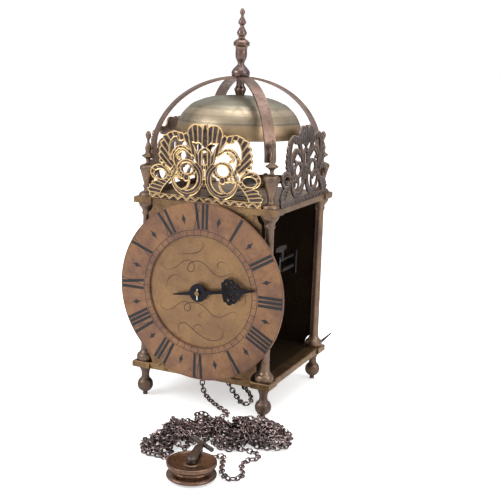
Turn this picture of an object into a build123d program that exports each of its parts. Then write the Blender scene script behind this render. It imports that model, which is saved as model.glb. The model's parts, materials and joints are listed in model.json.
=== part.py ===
from build123d import *
from math import atan2, cos, degrees, radians, sin, sqrt, tan
import os

# ---------------------------------------------------------------------------------------------
# Lantern clock: a square brass frame of two plates and four turned pillars on ball feet, a round
# dial with one hour hand, a bell under four arched straps, three pierced frets, a verge movement
# with a short bob pendulum, a striking train and an endless winding chain with its pulley.
# Millimetres. +Z is up and the dial faces -Y. Heights are counted from the floor.
# ---------------------------------------------------------------------------------------------

# Driving dimensions
TOTAL_HEIGHT = 385.0
PLATE_SIDE = 150.0          # over the corner pads
PLATE_THICKNESS = 6.0
PAD_SIDE = 19.4
PAD_STEP = 1.7              # how far the plate's edge lies back between its corner pads
CASE_Y = -19.0              # the case's axis, so that spurs and hand stand evenly about the origin
PILLAR_PITCH = 130.6        # between pillar axes
BOTTOM_PLATE_Z = 30.8
TOP_PLATE_Z = 197.3
DIAL_Z = 117.5
DIAL_RADIUS = 87.0
CHAPTER_INNER_RADIUS = 54.6
HAND_ANGLE = 9.5            # degrees above the horizontal, towards III

# Derived levels
CORNER = PILLAR_PITCH / 2
PLATE_HALF = PLATE_SIDE / 2
BOTTOM_TOP_Z = BOTTOM_PLATE_Z + PLATE_THICKNESS
TOP_TOP_Z = TOP_PLATE_Z + PLATE_THICKNESS
CORNERS = {"front_left": (-CORNER, -CORNER), "front_right": (CORNER, -CORNER),
           "rear_left": (-CORNER, CORNER), "rear_right": (CORNER, CORNER)}
CORNER_PLACES = list(CORNERS.values())

os.makedirs("parts", exist_ok=True)


def level(z, x=0.0, y=0.0):
    """A horizontal plane at height z, its origin at x, y from the case's axis."""
    return Plane((x, CASE_Y + y, z))


def facing(y, x=0.0, z=0.0):
    """An upright plane that faces the viewer of the dial; its second axis is +Z."""
    return Plane((x, CASE_Y + y, z), x_dir=(1, 0, 0), z_dir=(0, -1, 0))


def sideways(x, y=0.0, z=0.0):
    """An upright plane that faces +X; its first axis is +Y and its second +Z."""
    return Plane((x, CASE_Y + y, z), x_dir=(0, 1, 0), z_dir=(1, 0, 0))


def shape(*points):
    """A filled polygon whose face looks the same way as its sketch plane, whatever the order."""
    pairs = zip(points, points[1:] + points[:1])
    area = sum(x0 * y1 - x1 * y0 for (x0, y0), (x1, y1) in pairs)
    Polygon(*(points if area > 0 else points[::-1]), align=None)


def save(part, name):
    part.label = name
    export_step(part, f"parts/{name}.step")


def turned(profile, x=0.0, y=0.0):
    """A turned piece: profile lists radius and height from the bottom centre to the top centre."""
    with BuildPart() as piece:
        with BuildSketch(sideways(x, y)):
            with BuildLine():
                Polyline(*profile, close=True)
            make_face()
        revolve(axis=Axis((x, CASE_Y + y, 0), (0, 0, 1)))
    return piece


# --- Frame: plates, pillars, feet and finials ------------------------------------------------

STUD_RADIUS = 2.5
STUD_HOLE_RADIUS = 2.55
STUD_DEPTH = 12.0
CHAIN_DIAMETER = 5.5
GOING_CHAIN_Y = -41.0
STRIKE_CHAIN_Y = 12.0
CHAIN_X = 13.8
CHAIN_HOLE_RADIUS = 6.0
BAR_WIDTH = 12.0
BAR_THICKNESS = 3.5
BAR_Y = {"front_bar": -61.0, "middle_bar": -9.0, "rear_bar": 34.0}
TENON_WIDTH = 6.0
TENON_LENGTH = 5.0
BAR_PLACES = [(0.0, y + BAR_THICKNESS / 2) for y in BAR_Y.values()]


def plate_outline():
    """The square with its four corner pads."""
    Rectangle(PLATE_SIDE - 2 * PAD_STEP, PLATE_SIDE - 2 * PAD_STEP)
    with Locations(*CORNER_PLACES):
        Rectangle(PAD_SIDE, PAD_SIDE)


with BuildPart() as bottom_plate:
    with BuildSketch(level(BOTTOM_PLATE_Z)):
        plate_outline()
    extrude(amount=PLATE_THICKNESS)
    chamfer(bottom_plate.faces().sort_by(Axis.Z)[-1].outer_wire().edges(), 0.8)
    with BuildSketch(level(BOTTOM_PLATE_Z)):
        with Locations(*CORNER_PLACES):
            Circle(STUD_HOLE_RADIUS)
        for y in (GOING_CHAIN_Y, STRIKE_CHAIN_Y):
            with Locations((-CHAIN_X, y), (CHAIN_X, y)):
                Circle(CHAIN_HOLE_RADIUS)
    extrude(amount=PLATE_THICKNESS, mode=Mode.SUBTRACT)
    with BuildSketch(level(BOTTOM_TOP_Z)):
        with Locations(*BAR_PLACES):
            Rectangle(TENON_WIDTH, BAR_THICKNESS)
    extrude(amount=-TENON_LENGTH, mode=Mode.SUBTRACT)
save(bottom_plate.part, "bottom_plate")

CROWN_Y = -26.0
CROWN_OPENING = (42.0, 28.0)
CROWN_OPENING_X = 6.0
HAMMER_X, HAMMER_Y, HAMMER_Z = -50.0, 13.0, 135.0
HAMMER_SLOT = (20.0, 8.0)
FRET_TAB = 40.0
FRET_TAB_REACH = 68.6
TAB_PLACES = [(-FRET_TAB, -FRET_TAB_REACH), (FRET_TAB, -FRET_TAB_REACH)] + [
    (side * FRET_TAB_REACH, y) for side in (-1, 1) for y in (-FRET_TAB, FRET_TAB)]
POTENCE_SCREWS = [(34.0, -26.0), (34.0, -41.0)]
COCK_SCREW = (10.0, 62.0)
COCK_FOOT = 1.4
SCREW_PLACES = TAB_PLACES + POTENCE_SCREWS + [COCK_SCREW]
SCREW_RADIUS = 1.3
SCREW_DEPTH = 4.5

with BuildPart() as top_plate:
    with BuildSketch(level(TOP_PLATE_Z)):
        plate_outline()
    extrude(amount=PLATE_THICKNESS)
    chamfer(top_plate.faces().sort_by(Axis.Z)[-1].outer_wire().edges(), 0.8)
    with BuildSketch(level(TOP_PLATE_Z)):
        with Locations(*CORNER_PLACES):
            Circle(STUD_HOLE_RADIUS)
        with Locations((CROWN_OPENING_X, CROWN_Y)):
            RectangleRounded(*CROWN_OPENING, 4)
        with Locations((HAMMER_X + 3, HAMMER_Y)):
            SlotOverall(*HAMMER_SLOT)
    extrude(amount=PLATE_THICKNESS, mode=Mode.SUBTRACT)
    with BuildSketch(level(TOP_PLATE_Z)):
        with Locations(*BAR_PLACES):
            Rectangle(TENON_WIDTH, BAR_THICKNESS)
    extrude(amount=TENON_LENGTH, mode=Mode.SUBTRACT)
    with BuildSketch(level(TOP_TOP_Z)):
        with Locations(*SCREW_PLACES):
            Circle(SCREW_RADIUS)
    extrude(amount=-SCREW_DEPTH, mode=Mode.SUBTRACT)
save(top_plate.part, "top_plate")

PILLAR_PROFILE = [
    (8.2, 0.0), (8.9, 1.6), (9.0, 3.9), (8.2, 6.2), (6.2, 7.7), (5.6, 9.2), (4.9, 10.4),
    (4.7, 14.0), (4.1, 147.0), (4.9, 148.2), (5.2, 150.4), (4.6, 151.6), (5.6, 154.0),
    (7.6, 156.6), (8.4, 158.4), (8.4, 160.5)]


def pillar(x, y):
    """A turned pillar with a rounded collar, a slim taper and a cup-shaped capital."""
    outline = [(r, BOTTOM_TOP_Z + z) for r, z in PILLAR_PROFILE]
    bore_low = BOTTOM_TOP_Z + STUD_DEPTH
    bore_high = TOP_PLATE_Z - STUD_DEPTH
    upper_bore = [(STUD_HOLE_RADIUS, TOP_PLATE_Z), (STUD_HOLE_RADIUS, bore_high), (0, bore_high)]
    lower_bore = [(0, bore_low), (STUD_HOLE_RADIUS, bore_low), (STUD_HOLE_RADIUS, BOTTOM_TOP_Z)]
    return turned(outline + upper_bore + lower_bore, x, y)


FOOT_BALL_RADIUS = 8.0
FOOT_BALL_Z = 10.7
FOOT_PEG_RADIUS = 2.4
FOOT_NECK_RADIUS = 4.4
BALL_LOW_Z = FOOT_BALL_Z - sqrt(FOOT_BALL_RADIUS ** 2 - FOOT_PEG_RADIUS ** 2)
BALL_HIGH_Z = FOOT_BALL_Z + sqrt(FOOT_BALL_RADIUS ** 2 - FOOT_NECK_RADIUS ** 2)


def foot(x, y):
    """A ball foot with a waisted neck, a small peg below and a screwed stud above."""
    stud_top = BOTTOM_TOP_Z + STUD_DEPTH - 1
    with BuildPart() as piece:
        with BuildSketch(sideways(x, y)):
            with BuildLine():
                Polyline((0, 0), (FOOT_PEG_RADIUS, 0), (FOOT_PEG_RADIUS, BALL_LOW_Z))
                ThreePointArc((FOOT_PEG_RADIUS, BALL_LOW_Z), (FOOT_BALL_RADIUS, FOOT_BALL_Z),
                              (FOOT_NECK_RADIUS, BALL_HIGH_Z))
                ThreePointArc((FOOT_NECK_RADIUS, BALL_HIGH_Z), (3.8, 21.4), (6.6, 29.4))
                Polyline((6.6, 29.4), (6.6, BOTTOM_PLATE_Z), (STUD_RADIUS, BOTTOM_PLATE_Z),
                         (STUD_RADIUS, stud_top), (0, stud_top), (0, 0))
            make_face()
        revolve(axis=Axis((x, CASE_Y + y, 0), (0, 0, 1)))
    return piece


FINIAL_PROFILE = [
    (8.4, 0.0), (8.4, 1.6), (7.2, 3.4), (4.2, 4.5), (2.9, 6.6), (3.4, 11.0), (7.0, 24.6),
    (7.9, 25.8), (8.0, 28.6), (6.2, 30.2), (2.2, 31.6), (1.65, 33.8), (2.6, 36.4), (6.0, 38.4),
    (6.1, 39.2), (3.0, 41.0), (2.4, 42.6), (3.1, 46.2), (2.2, 49.6), (1.15, 52.4), (1.3, 54.6),
    (2.6, 57.0), (2.8, 59.4), (2.0, 61.6), (0.6, 63.0)]
STRAP_PIN_RADIUS = 1.0
STRAP_PIN_Z = 249.5


def finial(x, y):
    """An urn finial with a knife-edged flange, a slim baluster and a ball tip."""
    stud_low = TOP_PLATE_Z - STUD_DEPTH + 1
    outline = [(r, TOP_TOP_Z + z) for r, z in FINIAL_PROFILE]
    outline += [(0, outline[-1][1]), (0, stud_low), (STUD_RADIUS, stud_low), (STUD_RADIUS, TOP_TOP_Z)]
    with BuildPart() as piece:
        with BuildSketch(sideways(x, y)):
            with BuildLine():
                Polyline(*outline, close=True)
            make_face()
        revolve(axis=Axis((x, CASE_Y + y, 0), (0, 0, 1)))
        with BuildSketch(Plane((x, CASE_Y + y, STRAP_PIN_Z), z_dir=(-x, -y, 0))):
            Circle(STRAP_PIN_RADIUS)
        extrude(amount=6, mode=Mode.SUBTRACT)
    return piece


for corner, (x, y) in CORNERS.items():
    save(foot(x, y).part, f"foot_{corner}")
    save(pillar(x, y).part, f"pillar_{corner}")
    save(finial(x, y).part, f"finial_{corner}")

# --- Case: front plate, back plate, hanging hoop and wall spurs --------------------------------

SHEET = 1.8
FRONT_PLATE_Y = -72.0
BACK_PLATE_Y = 68.0
SHEET_HALF_WIDTH = 59.8
CAPITAL_CUT = 10.4
COLLAR_CUT = 11.4
DIAL_BORE = 4.0
RING_FOOT_RADIUS = 2.0
RING_FEET = [(sx * 49.5, sz * 49.5) for sx in (-1, 1) for sz in (-1, 1)]
CENTRE_FOOT_RADIUS = 1.8
CENTRE_FEET = [(sx * 34.0, sz * 20.0) for sx in (-1, 1) for sz in (-1, 1)]
CASE_MID_Z = (BOTTOM_TOP_Z + TOP_PLATE_Z) / 2
CASE_INSIDE = TOP_PLATE_Z - BOTTOM_TOP_Z
SLIT_X = 52.0               # a saw cut from the top edge, beside the right-hand capital
SLIT_WIDTH = 0.8
SLIT_LOW_Z = 188.5


def sheet_outline():
    """A sheet between two pillars, cut round their capitals and collars."""
    Rectangle(2 * SHEET_HALF_WIDTH, CASE_INSIDE)
    with Locations((-CORNER, CASE_INSIDE / 2), (CORNER, CASE_INSIDE / 2)):
        Circle(CAPITAL_CUT, mode=Mode.SUBTRACT)
    with Locations((-CORNER, -CASE_INSIDE / 2), (CORNER, -CASE_INSIDE / 2)):
        Circle(COLLAR_CUT, mode=Mode.SUBTRACT)


with BuildPart() as front_plate:
    with BuildSketch(facing(FRONT_PLATE_Y, 0, CASE_MID_Z)):
        sheet_outline()
    extrude(amount=-SHEET)
    with BuildSketch(facing(FRONT_PLATE_Y, 0, DIAL_Z)):
        Circle(DIAL_BORE)
        with Locations(*RING_FEET):
            Circle(RING_FOOT_RADIUS)
        with Locations(*CENTRE_FEET):
            Circle(CENTRE_FOOT_RADIUS)
    extrude(amount=-SHEET, mode=Mode.SUBTRACT)
    with BuildSketch(facing(FRONT_PLATE_Y, 0, 0)):
        with Locations((SLIT_X, (SLIT_LOW_Z + TOP_PLATE_Z) / 2)):
            Rectangle(SLIT_WIDTH, TOP_PLATE_Z - SLIT_LOW_Z)
    extrude(amount=-SHEET, mode=Mode.SUBTRACT)
save(front_plate.part, "front_plate")

with BuildPart() as back_plate:
    with BuildSketch(facing(BACK_PLATE_Y, 0, CASE_MID_Z)):
        sheet_outline()
    extrude(amount=-SHEET)
save(back_plate.part, "back_plate")

HOOP_HALF = 24.0
HOOP_STRIP = 2.4
HOOP_LOW_Z = 200.5
HOOP_HEIGHT = 9.5
HOOP_REACH = 115.0
HOOP_LEG_Y = 64.0
HOOP_RISE = HOOP_REACH - HOOP_HALF

with BuildPart() as hanging_hoop:
    with BuildSketch(level(HOOP_LOW_Z)):
        with Locations((0, HOOP_RISE)):
            Circle(HOOP_HALF + HOOP_STRIP / 2)
        with Locations((0, (HOOP_RISE + HOOP_LEG_Y) / 2)):
            Rectangle(2 * HOOP_HALF + HOOP_STRIP, HOOP_RISE - HOOP_LEG_Y)
        with Locations((0, HOOP_RISE)):
            Circle(HOOP_HALF - HOOP_STRIP / 2, mode=Mode.SUBTRACT)
        with Locations((0, (HOOP_RISE + HOOP_LEG_Y) / 2)):
            Rectangle(2 * HOOP_HALF - HOOP_STRIP, HOOP_RISE - HOOP_LEG_Y, mode=Mode.SUBTRACT)
    extrude(amount=HOOP_HEIGHT)
    with BuildSketch(level(HOOP_LOW_Z)):
        Rectangle(PLATE_SIDE, PLATE_SIDE - 2 * PAD_STEP)
    extrude(amount=TOP_TOP_Z - HOOP_LOW_Z, mode=Mode.SUBTRACT)
save(hanging_hoop.part, "hanging_hoop")

SPUR_REACH = 121.0
SPUR_Z = 33.8
SPUR_TIP_Z = 35.8
SPUR_ROOT_RADIUS = 1.9
SPUR_TIP_RADIUS = 0.7

with BuildPart() as wall_spurs:
    for x in (-CORNER, CORNER):
        with BuildSketch(facing(PLATE_HALF, x, SPUR_Z)):
            Circle(SPUR_ROOT_RADIUS)
        with BuildSketch(facing(SPUR_REACH, x, SPUR_TIP_Z)):
            Circle(SPUR_TIP_RADIUS)
        loft()
save(wall_spurs.part, "wall_spurs")

# --- Dial, hand and hour wheel -------------------------------------------------------------------

CHAPTER_FRONT_Y = -77.2
CHAPTER_THICKNESS = 1.8
CENTRE_RADIUS = 58.5
CENTRE_THICKNESS = 1.5
CENTRE_FRONT_Y = CHAPTER_FRONT_Y + CHAPTER_THICKNESS
PLATE_BACK_Y = FRONT_PLATE_Y + SHEET

with BuildPart() as chapter_ring:
    with BuildSketch(facing(CHAPTER_FRONT_Y, 0, DIAL_Z)):
        Circle(DIAL_RADIUS)
        Circle(CHAPTER_INNER_RADIUS, mode=Mode.SUBTRACT)
    extrude(amount=-CHAPTER_THICKNESS)
    with BuildSketch(facing(CENTRE_FRONT_Y, 0, DIAL_Z)):
        with Locations(*RING_FEET):
            Circle(RING_FOOT_RADIUS)
    extrude(amount=-(PLATE_BACK_Y - CENTRE_FRONT_Y))
save(chapter_ring.part, "chapter_ring")

with BuildPart() as dial_centre:
    with BuildSketch(facing(CENTRE_FRONT_Y, 0, DIAL_Z)):
        Circle(CENTRE_RADIUS)
        Circle(DIAL_BORE, mode=Mode.SUBTRACT)
    extrude(amount=-CENTRE_THICKNESS)
    with BuildSketch(facing(CENTRE_FRONT_Y + CENTRE_THICKNESS, 0, DIAL_Z)):
        with Locations(*CENTRE_FEET):
            Circle(CENTRE_FOOT_RADIUS)
    extrude(amount=-(PLATE_BACK_Y - CENTRE_FRONT_Y - CENTRE_THICKNESS))
save(dial_centre.part, "dial_centre")

HAND_FRONT_Y = -80.8
HAND_THICKNESS = 1.4
HAND_HUB_RADIUS = 8.8
HAND_BORE = 2.4
RUNNING = 0.05
HAND_SEAT_RADIUS = HAND_BORE - RUNNING
ARBOR_TIP_Y = -83.0

HAND_LOBES = [(25.8, 3.2), (26.6, 9.6), (28.4, 9.2), (30.2, 12.2), (33.0, 12.8), (35.2, 11.2),
              (37.6, 11.6), (40.0, 9.8), (40.6, 7.4), (43.0, 7.2), (44.8, 4.6), (46.6, 2.4)]


def hand_head():
    """The pierced head of the hand: lobed edges that run together towards the tip."""
    return HAND_LOBES + [(x, -y) for x, y in reversed(HAND_LOBES)]


with BuildPart() as hour_hand:
    with BuildSketch(Plane((0, CASE_Y + HAND_FRONT_Y, DIAL_Z), z_dir=(0, -1, 0),
                           x_dir=(cos(radians(HAND_ANGLE)), 0, sin(radians(HAND_ANGLE))))):
        Circle(HAND_HUB_RADIUS)
        shape((0, 2.2), (31, 1.3), (31, -1.3), (0, -2.2))
        shape((-7, 1.9), (-27.4, 0.5), (-27.4, -0.5), (-7, -1.9))
        shape(*hand_head())
        shape((45, 2.6), (60.0, 0.5), (60.0, -0.5), (45, -2.6))
        for side in (-1, 1):
            with Locations((31.2, side * 7.6)):
                Circle(1.5, mode=Mode.SUBTRACT)
            with Locations((36.4, side * 8.2)):
                Circle(1.3, mode=Mode.SUBTRACT)
            with Locations(Location((34.6, side * 3.2, 0), (0, 0, side * 20))):
                SlotOverall(6.2, 2.0, mode=Mode.SUBTRACT)
            with Locations(Location((40.8, side * 3.6, 0), (0, 0, -side * 35))):
                SlotOverall(5.0, 2.0, mode=Mode.SUBTRACT)
        Circle(HAND_BORE, mode=Mode.SUBTRACT)
    extrude(amount=-HAND_THICKNESS)
save(hour_hand.part, "hour_hand")

PIN_Y = -81.65
PIN_RADIUS = 0.75
PIN_LOW, PIN_LENGTH = 6.4, 10.8
with BuildPart() as hand_pin:
    with BuildSketch(level(DIAL_Z - PIN_LOW, 0, PIN_Y)):
        Circle(PIN_RADIUS)
    extrude(amount=PIN_LENGTH)
save(hand_pin.part, "hand_pin")

# Toothed wheels: addendum and dedendum in modules, half widths at root and tip in pitches.
WHEEL_TOOTH = (0.9, 0.9, 0.27, 0.12)
LEAF_TOOTH = (0.6, 1.1, 0.20, 0.12)
LEAVES = 6
GREAT_TEETH, GREAT_MODULE = 48, 1.5
SECOND_TEETH, SECOND_MODULE = 42, 1.3
HOUR_TEETH, HOUR_MODULE = 48, 1.2
COUNT_TEETH, COUNT_MODULE = 39, 1.2
ARBOR_RADIUS = 1.8
PIVOT_RADIUS = 1.0
PIVOT_HOLE_RADIUS = PIVOT_RADIUS + RUNNING
UP, DOWN = 90.0, 270.0


def tooth_points(count, module, tooth, first):
    """The outline of count straight-sided teeth, the first one centred on the angle first."""
    addendum, dedendum, root_half, tip_half = tooth
    pitch_radius = module * count / 2
    root, tip = pitch_radius - dedendum * module, pitch_radius + addendum * module
    points = []
    for index in range(count):
        for radius, share in ((root, -root_half), (tip, -tip_half), (tip, tip_half), (root, root_half)):
            angle = radians(first + (index + share) * 360 / count)
            points.append((radius * cos(angle), radius * sin(angle)))
    return points


def centre_distance(teeth, module):
    return module * (teeth + LEAVES) / 2


def crossed_wheel(teeth, module, first=UP):
    """A toothed rim on four arms and a hub."""
    root = module * teeth / 2 - WHEEL_TOOTH[1] * module
    shape(*tooth_points(teeth, module, WHEEL_TOOTH, first))
    Circle(root - 3.0, mode=Mode.SUBTRACT)
    for turn in (45, 135):
        Rectangle(2 * root - 3, 3.6, rotation=turn)
    Circle(5.0)


def leaves(module, gap):
    """Six pinion leaves; the angle gap points between two of them."""
    shape(*tooth_points(LEAVES, module, LEAF_TOOTH, gap + 180 / LEAVES))


MIDDLE_BAR_BACK_Y = BAR_Y["middle_bar"] + BAR_THICKNESS
REAR_BAR_BACK_Y = BAR_Y["rear_bar"] + BAR_THICKNESS
END_SHAKE = 0.3
PIVOT_LENGTH = 3.2


def arbor(z, rods, wheels=(), pinions=(), x=0.0):
    """An arbor along Y. Rods: front, rear, radius. Wheels: front, thickness, teeth, module, tooth.
    Pinions: front, length, module, gap."""
    with BuildPart() as piece:
        for front, rear, radius in rods:
            with BuildSketch(facing(front, x, z)):
                Circle(radius)
            extrude(amount=front - rear)
        for front, thickness, teeth, module, tooth in wheels:
            with BuildSketch(facing(front, x, z)):
                crossed_wheel(teeth, module, tooth)
            extrude(amount=-thickness)
        for front, length, module, gap in pinions:
            with BuildSketch(facing(front, x, z)):
                leaves(module, gap)
            extrude(amount=-length)
    return piece


def between(front_bar, rear_bar, radius=ARBOR_RADIUS):
    """The rods of an arbor whose pivots turn in two bars."""
    front = BAR_Y[front_bar] + BAR_THICKNESS + END_SHAKE
    rear = BAR_Y[rear_bar] - END_SHAKE
    return [(front - PIVOT_LENGTH, front, PIVOT_RADIUS), (front, rear, radius),
            (rear, rear + PIVOT_LENGTH, PIVOT_RADIUS)]


HOUR_WHEEL_Y = -67.0
STAR_Y = -63.4
WHEEL_THICKNESS = 2.4
HAND_SHOULDER_Y = HAND_FRONT_Y + HAND_THICKNESS + RUNNING

with BuildPart() as hour_wheel:
    with BuildSketch(facing(HOUR_WHEEL_Y, 0, DIAL_Z)):
        crossed_wheel(HOUR_TEETH, HOUR_MODULE, DOWN)
    extrude(amount=-WHEEL_THICKNESS)
    with BuildSketch(facing(STAR_Y, 0, DIAL_Z)):
        shape(*tooth_points(12, 1.8, (0.0, 1.4, 0.45, 0.04), UP))
    extrude(amount=-1.4)
    with BuildSketch(facing(HAND_SHOULDER_Y, 0, DIAL_Z)):
        Circle(3.2)
    extrude(amount=HAND_SHOULDER_Y - BAR_Y["front_bar"] + END_SHAKE)
    with BuildSketch(facing(ARBOR_TIP_Y, 0, DIAL_Z)):
        Circle(HAND_SEAT_RADIUS)
    extrude(amount=ARBOR_TIP_Y - HAND_SHOULDER_Y)
    with BuildSketch(facing(BAR_Y["front_bar"] - END_SHAKE, 0, DIAL_Z)):
        Circle(PIVOT_RADIUS)
    extrude(amount=-PIVOT_LENGTH)
    with BuildSketch(level(DIAL_Z - PIN_LOW, 0, PIN_Y)):
        Circle(PIN_RADIUS)
    extrude(amount=PIN_LENGTH, mode=Mode.SUBTRACT)
save(hour_wheel.part, "hour_wheel")

# --- Going train ---------------------------------------------------------------------------------

GOING_GREAT_Z = DIAL_Z - centre_distance(HOUR_TEETH, HOUR_MODULE)
GOING_SECOND_Z = GOING_GREAT_Z + centre_distance(GREAT_TEETH, GREAT_MODULE)
CONTRATE_Z = GOING_SECOND_Z + centre_distance(SECOND_TEETH, SECOND_MODULE)
SPROCKET_HUB_RADIUS = 10.5
SPROCKET_FLANGE_RADIUS = 16.6
SPROCKET_GAP = 6.2
SPROCKET_FLANGE = 1.2


def sprocket_rods(y):
    """Two flanges and a hub that carry the chain in the plane y."""
    front = y - SPROCKET_GAP / 2
    rear = y + SPROCKET_GAP / 2
    return [(front - SPROCKET_FLANGE, front, SPROCKET_FLANGE_RADIUS),
            (front, rear, SPROCKET_HUB_RADIUS),
            (rear, rear + SPROCKET_FLANGE, SPROCKET_FLANGE_RADIUS)]


GREAT_REAR_Y = BAR_Y["middle_bar"] - END_SHAKE
GREAT_RODS = [(-68.0, GREAT_REAR_Y, ARBOR_RADIUS),
              (GREAT_REAR_Y, GREAT_REAR_Y + PIVOT_LENGTH, PIVOT_RADIUS),
              (-50.0, -45.0, 6.0)]
save(arbor(GOING_GREAT_Z, GREAT_RODS + sprocket_rods(GOING_CHAIN_Y),
           [(-50.0, 2.5, GREAT_TEETH, GREAT_MODULE, UP)],
           [(-68.0, 4.5, HOUR_MODULE, UP)]).part, "going_great_wheel")
save(arbor(GOING_SECOND_Z, between("front_bar", "middle_bar"),
           [(-34.0, 2.0, SECOND_TEETH, SECOND_MODULE, UP)],
           [(-51.0, 4.5, GREAT_MODULE, DOWN)]).part, "going_second_wheel")

CONTRATE_TEETH = 36
CONTRATE_BAND = (20.0, 22.0)
CONTRATE_TOOTH_Y = (-23.6, -21.4)
CONTRATE_DISC_Y = (-20.0, -18.2)
CONTRATE_SHARE = 0.15

with BuildPart() as contrate_wheel:
    for front, rear, radius in between("front_bar", "middle_bar"):
        with BuildSketch(facing(front, 0, CONTRATE_Z)):
            Circle(radius)
        extrude(amount=front - rear)
    with BuildSketch(facing(-35.0, 0, CONTRATE_Z)):
        leaves(SECOND_MODULE, DOWN)
    extrude(amount=-4.0)
    with BuildSketch(facing(CONTRATE_DISC_Y[0], 0, CONTRATE_Z)):
        Circle(CONTRATE_BAND[1])
        Circle(CONTRATE_BAND[0] - 1.4, mode=Mode.SUBTRACT)
        for turn in (45, 135):
            Rectangle(2 * CONTRATE_BAND[0], 3.2, rotation=turn)
        Circle(4.5)
    extrude(amount=CONTRATE_DISC_Y[0] - CONTRATE_DISC_Y[1])
    with BuildSketch(facing(CONTRATE_TOOTH_Y[1], 0, CONTRATE_Z)):
        Circle(CONTRATE_BAND[1])
        Circle(CONTRATE_BAND[0], mode=Mode.SUBTRACT)
    extrude(amount=CONTRATE_TOOTH_Y[1] - CONTRATE_DISC_Y[0])
    with BuildSketch(facing(CONTRATE_TOOTH_Y[0], 0, CONTRATE_Z)):
        for index in range(CONTRATE_TEETH):
            middle = UP + index * 360 / CONTRATE_TEETH
            half = CONTRATE_SHARE * 360 / CONTRATE_TEETH
            ends = [(r, middle + s * half) for r, s in
                    ((CONTRATE_BAND[0], -1), (CONTRATE_BAND[1], -1), (CONTRATE_BAND[1], 1),
                     (CONTRATE_BAND[0], 1))]
            shape(*[(r * cos(radians(a)), r * sin(radians(a))) for r, a in ends])
    extrude(amount=CONTRATE_TOOTH_Y[0] - CONTRATE_TOOTH_Y[1])
save(contrate_wheel.part, "contrate_wheel")

CROWN_PINION_Z = (172.5, 182.0)
CROWN_MODULE = 42.0 / CONTRATE_TEETH
CROWN_LOW_Z = 165.3
CROWN_HIGH_Z = 200.7
CROWN_TEETH = 21
CROWN_RIM = (10.9, 12.5)
CROWN_BAND_Z = (188.0, 196.2)
CROWN_TIP_Z = 200.3

with BuildPart() as crown_wheel:
    for low, high, radius in ((CROWN_LOW_Z - PIVOT_LENGTH + 0.5, CROWN_LOW_Z, PIVOT_RADIUS),
                              (CROWN_LOW_Z, CROWN_HIGH_Z, 1.5),
                              (CROWN_HIGH_Z, CROWN_HIGH_Z + PIVOT_LENGTH, PIVOT_RADIUS)):
        with BuildSketch(level(low, 0, CROWN_Y)):
            Circle(radius)
        extrude(amount=high - low)
    with BuildSketch(level(CROWN_PINION_Z[0], 0, CROWN_Y)):
        leaves(CROWN_MODULE, UP)
    extrude(amount=CROWN_PINION_Z[1] - CROWN_PINION_Z[0])
    with BuildSketch(level(CROWN_BAND_Z[0], 0, CROWN_Y)):
        Circle(CROWN_RIM[1])
        Circle(CROWN_RIM[0] - 0.6, mode=Mode.SUBTRACT)
        for turn in (0, 90):
            Rectangle(2 * CROWN_RIM[0], 2.6, rotation=turn)
        Circle(3.6)
    extrude(amount=1.8)
    with BuildSketch(level(CROWN_BAND_Z[0], 0, CROWN_Y)):
        Circle(CROWN_RIM[1])
        Circle(CROWN_RIM[0], mode=Mode.SUBTRACT)
    extrude(amount=CROWN_BAND_Z[1] - CROWN_BAND_Z[0])
    for index in range(CROWN_TEETH):
        angle = radians(index * 360 / CROWN_TEETH)
        outward = (cos(angle), sin(angle), 0)
        along = (-sin(angle), cos(angle), 0)
        start = (CROWN_RIM[0] * outward[0], CASE_Y + CROWN_Y + CROWN_RIM[0] * outward[1], 0)
        with BuildSketch(Plane(start, x_dir=along, z_dir=outward)):
            shape((0, CROWN_BAND_Z[1] - 0.4), (0.15, CROWN_TIP_Z), (0.65, CROWN_TIP_Z),
                    (2.9, CROWN_BAND_Z[1] - 0.4))
        extrude(amount=CROWN_RIM[1] - CROWN_RIM[0] - 0.12)
save(crown_wheel.part, "crown_wheel")

VERGE_Z = 206.5
VERGE_RADIUS = 1.4
COCK_Y = (-46.5, -43.5)
FLANGE_TOP_Z = TOP_TOP_Z + 2.0

with BuildPart() as crown_potence:
    with BuildSketch(facing(-30.0, 0, 0)):
        with Locations((25.5, 182.5)):
            Rectangle(3.0, 43.0)
    extrude(amount=-8.0)
    with BuildSketch(level(162.0, 0, CROWN_Y)):
        with Locations((11.0, -0.4)):
            Rectangle(29.0, 4.2)
    extrude(amount=3.0)
    with BuildSketch(level(201.0, 0, CROWN_Y)):
        with Locations((11.5, 0)):
            Rectangle(31.0, 6.0)
    extrude(amount=3.0)
    with BuildSketch(level(TOP_TOP_Z)):
        with Locations((34.0, -34.25)):
            Rectangle(12.0, 24.5)
        with Locations((26.0, -26.0)):
            Rectangle(5.0, 8.0)
    extrude(amount=FLANGE_TOP_Z - TOP_TOP_Z)
    with BuildSketch(facing(COCK_Y[0], 0, 0)):
        shape((-4.0, TOP_TOP_Z), (-4.0, VERGE_Z + 2), (-2.0, VERGE_Z + 4), (3.0, VERGE_Z + 4),
                (12.0, FLANGE_TOP_Z + 0.6), (40.0, FLANGE_TOP_Z), (40.0, TOP_TOP_Z))
    extrude(amount=COCK_Y[0] - COCK_Y[1])
    with BuildSketch(level(160.0, 0, CROWN_Y)):
        Circle(PIVOT_HOLE_RADIUS)
    extrude(amount=44.5, mode=Mode.SUBTRACT)
    with BuildSketch(facing(COCK_Y[0], 0, VERGE_Z)):
        Circle(PIVOT_HOLE_RADIUS)
    extrude(amount=COCK_Y[0] - COCK_Y[1], mode=Mode.SUBTRACT)
    with BuildSketch(level(TOP_TOP_Z)):
        with Locations(*POTENCE_SCREWS):
            Circle(SCREW_RADIUS)
    extrude(amount=2.0, mode=Mode.SUBTRACT)
save(crown_potence.part, "crown_potence")

PENDULUM_Y = 82.0
PALLETS = ((-40.0, -48.0), (-15.0, 48.0))
PALLET_WIDTH = 3.0
PALLET_REACH = 6.0

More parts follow.
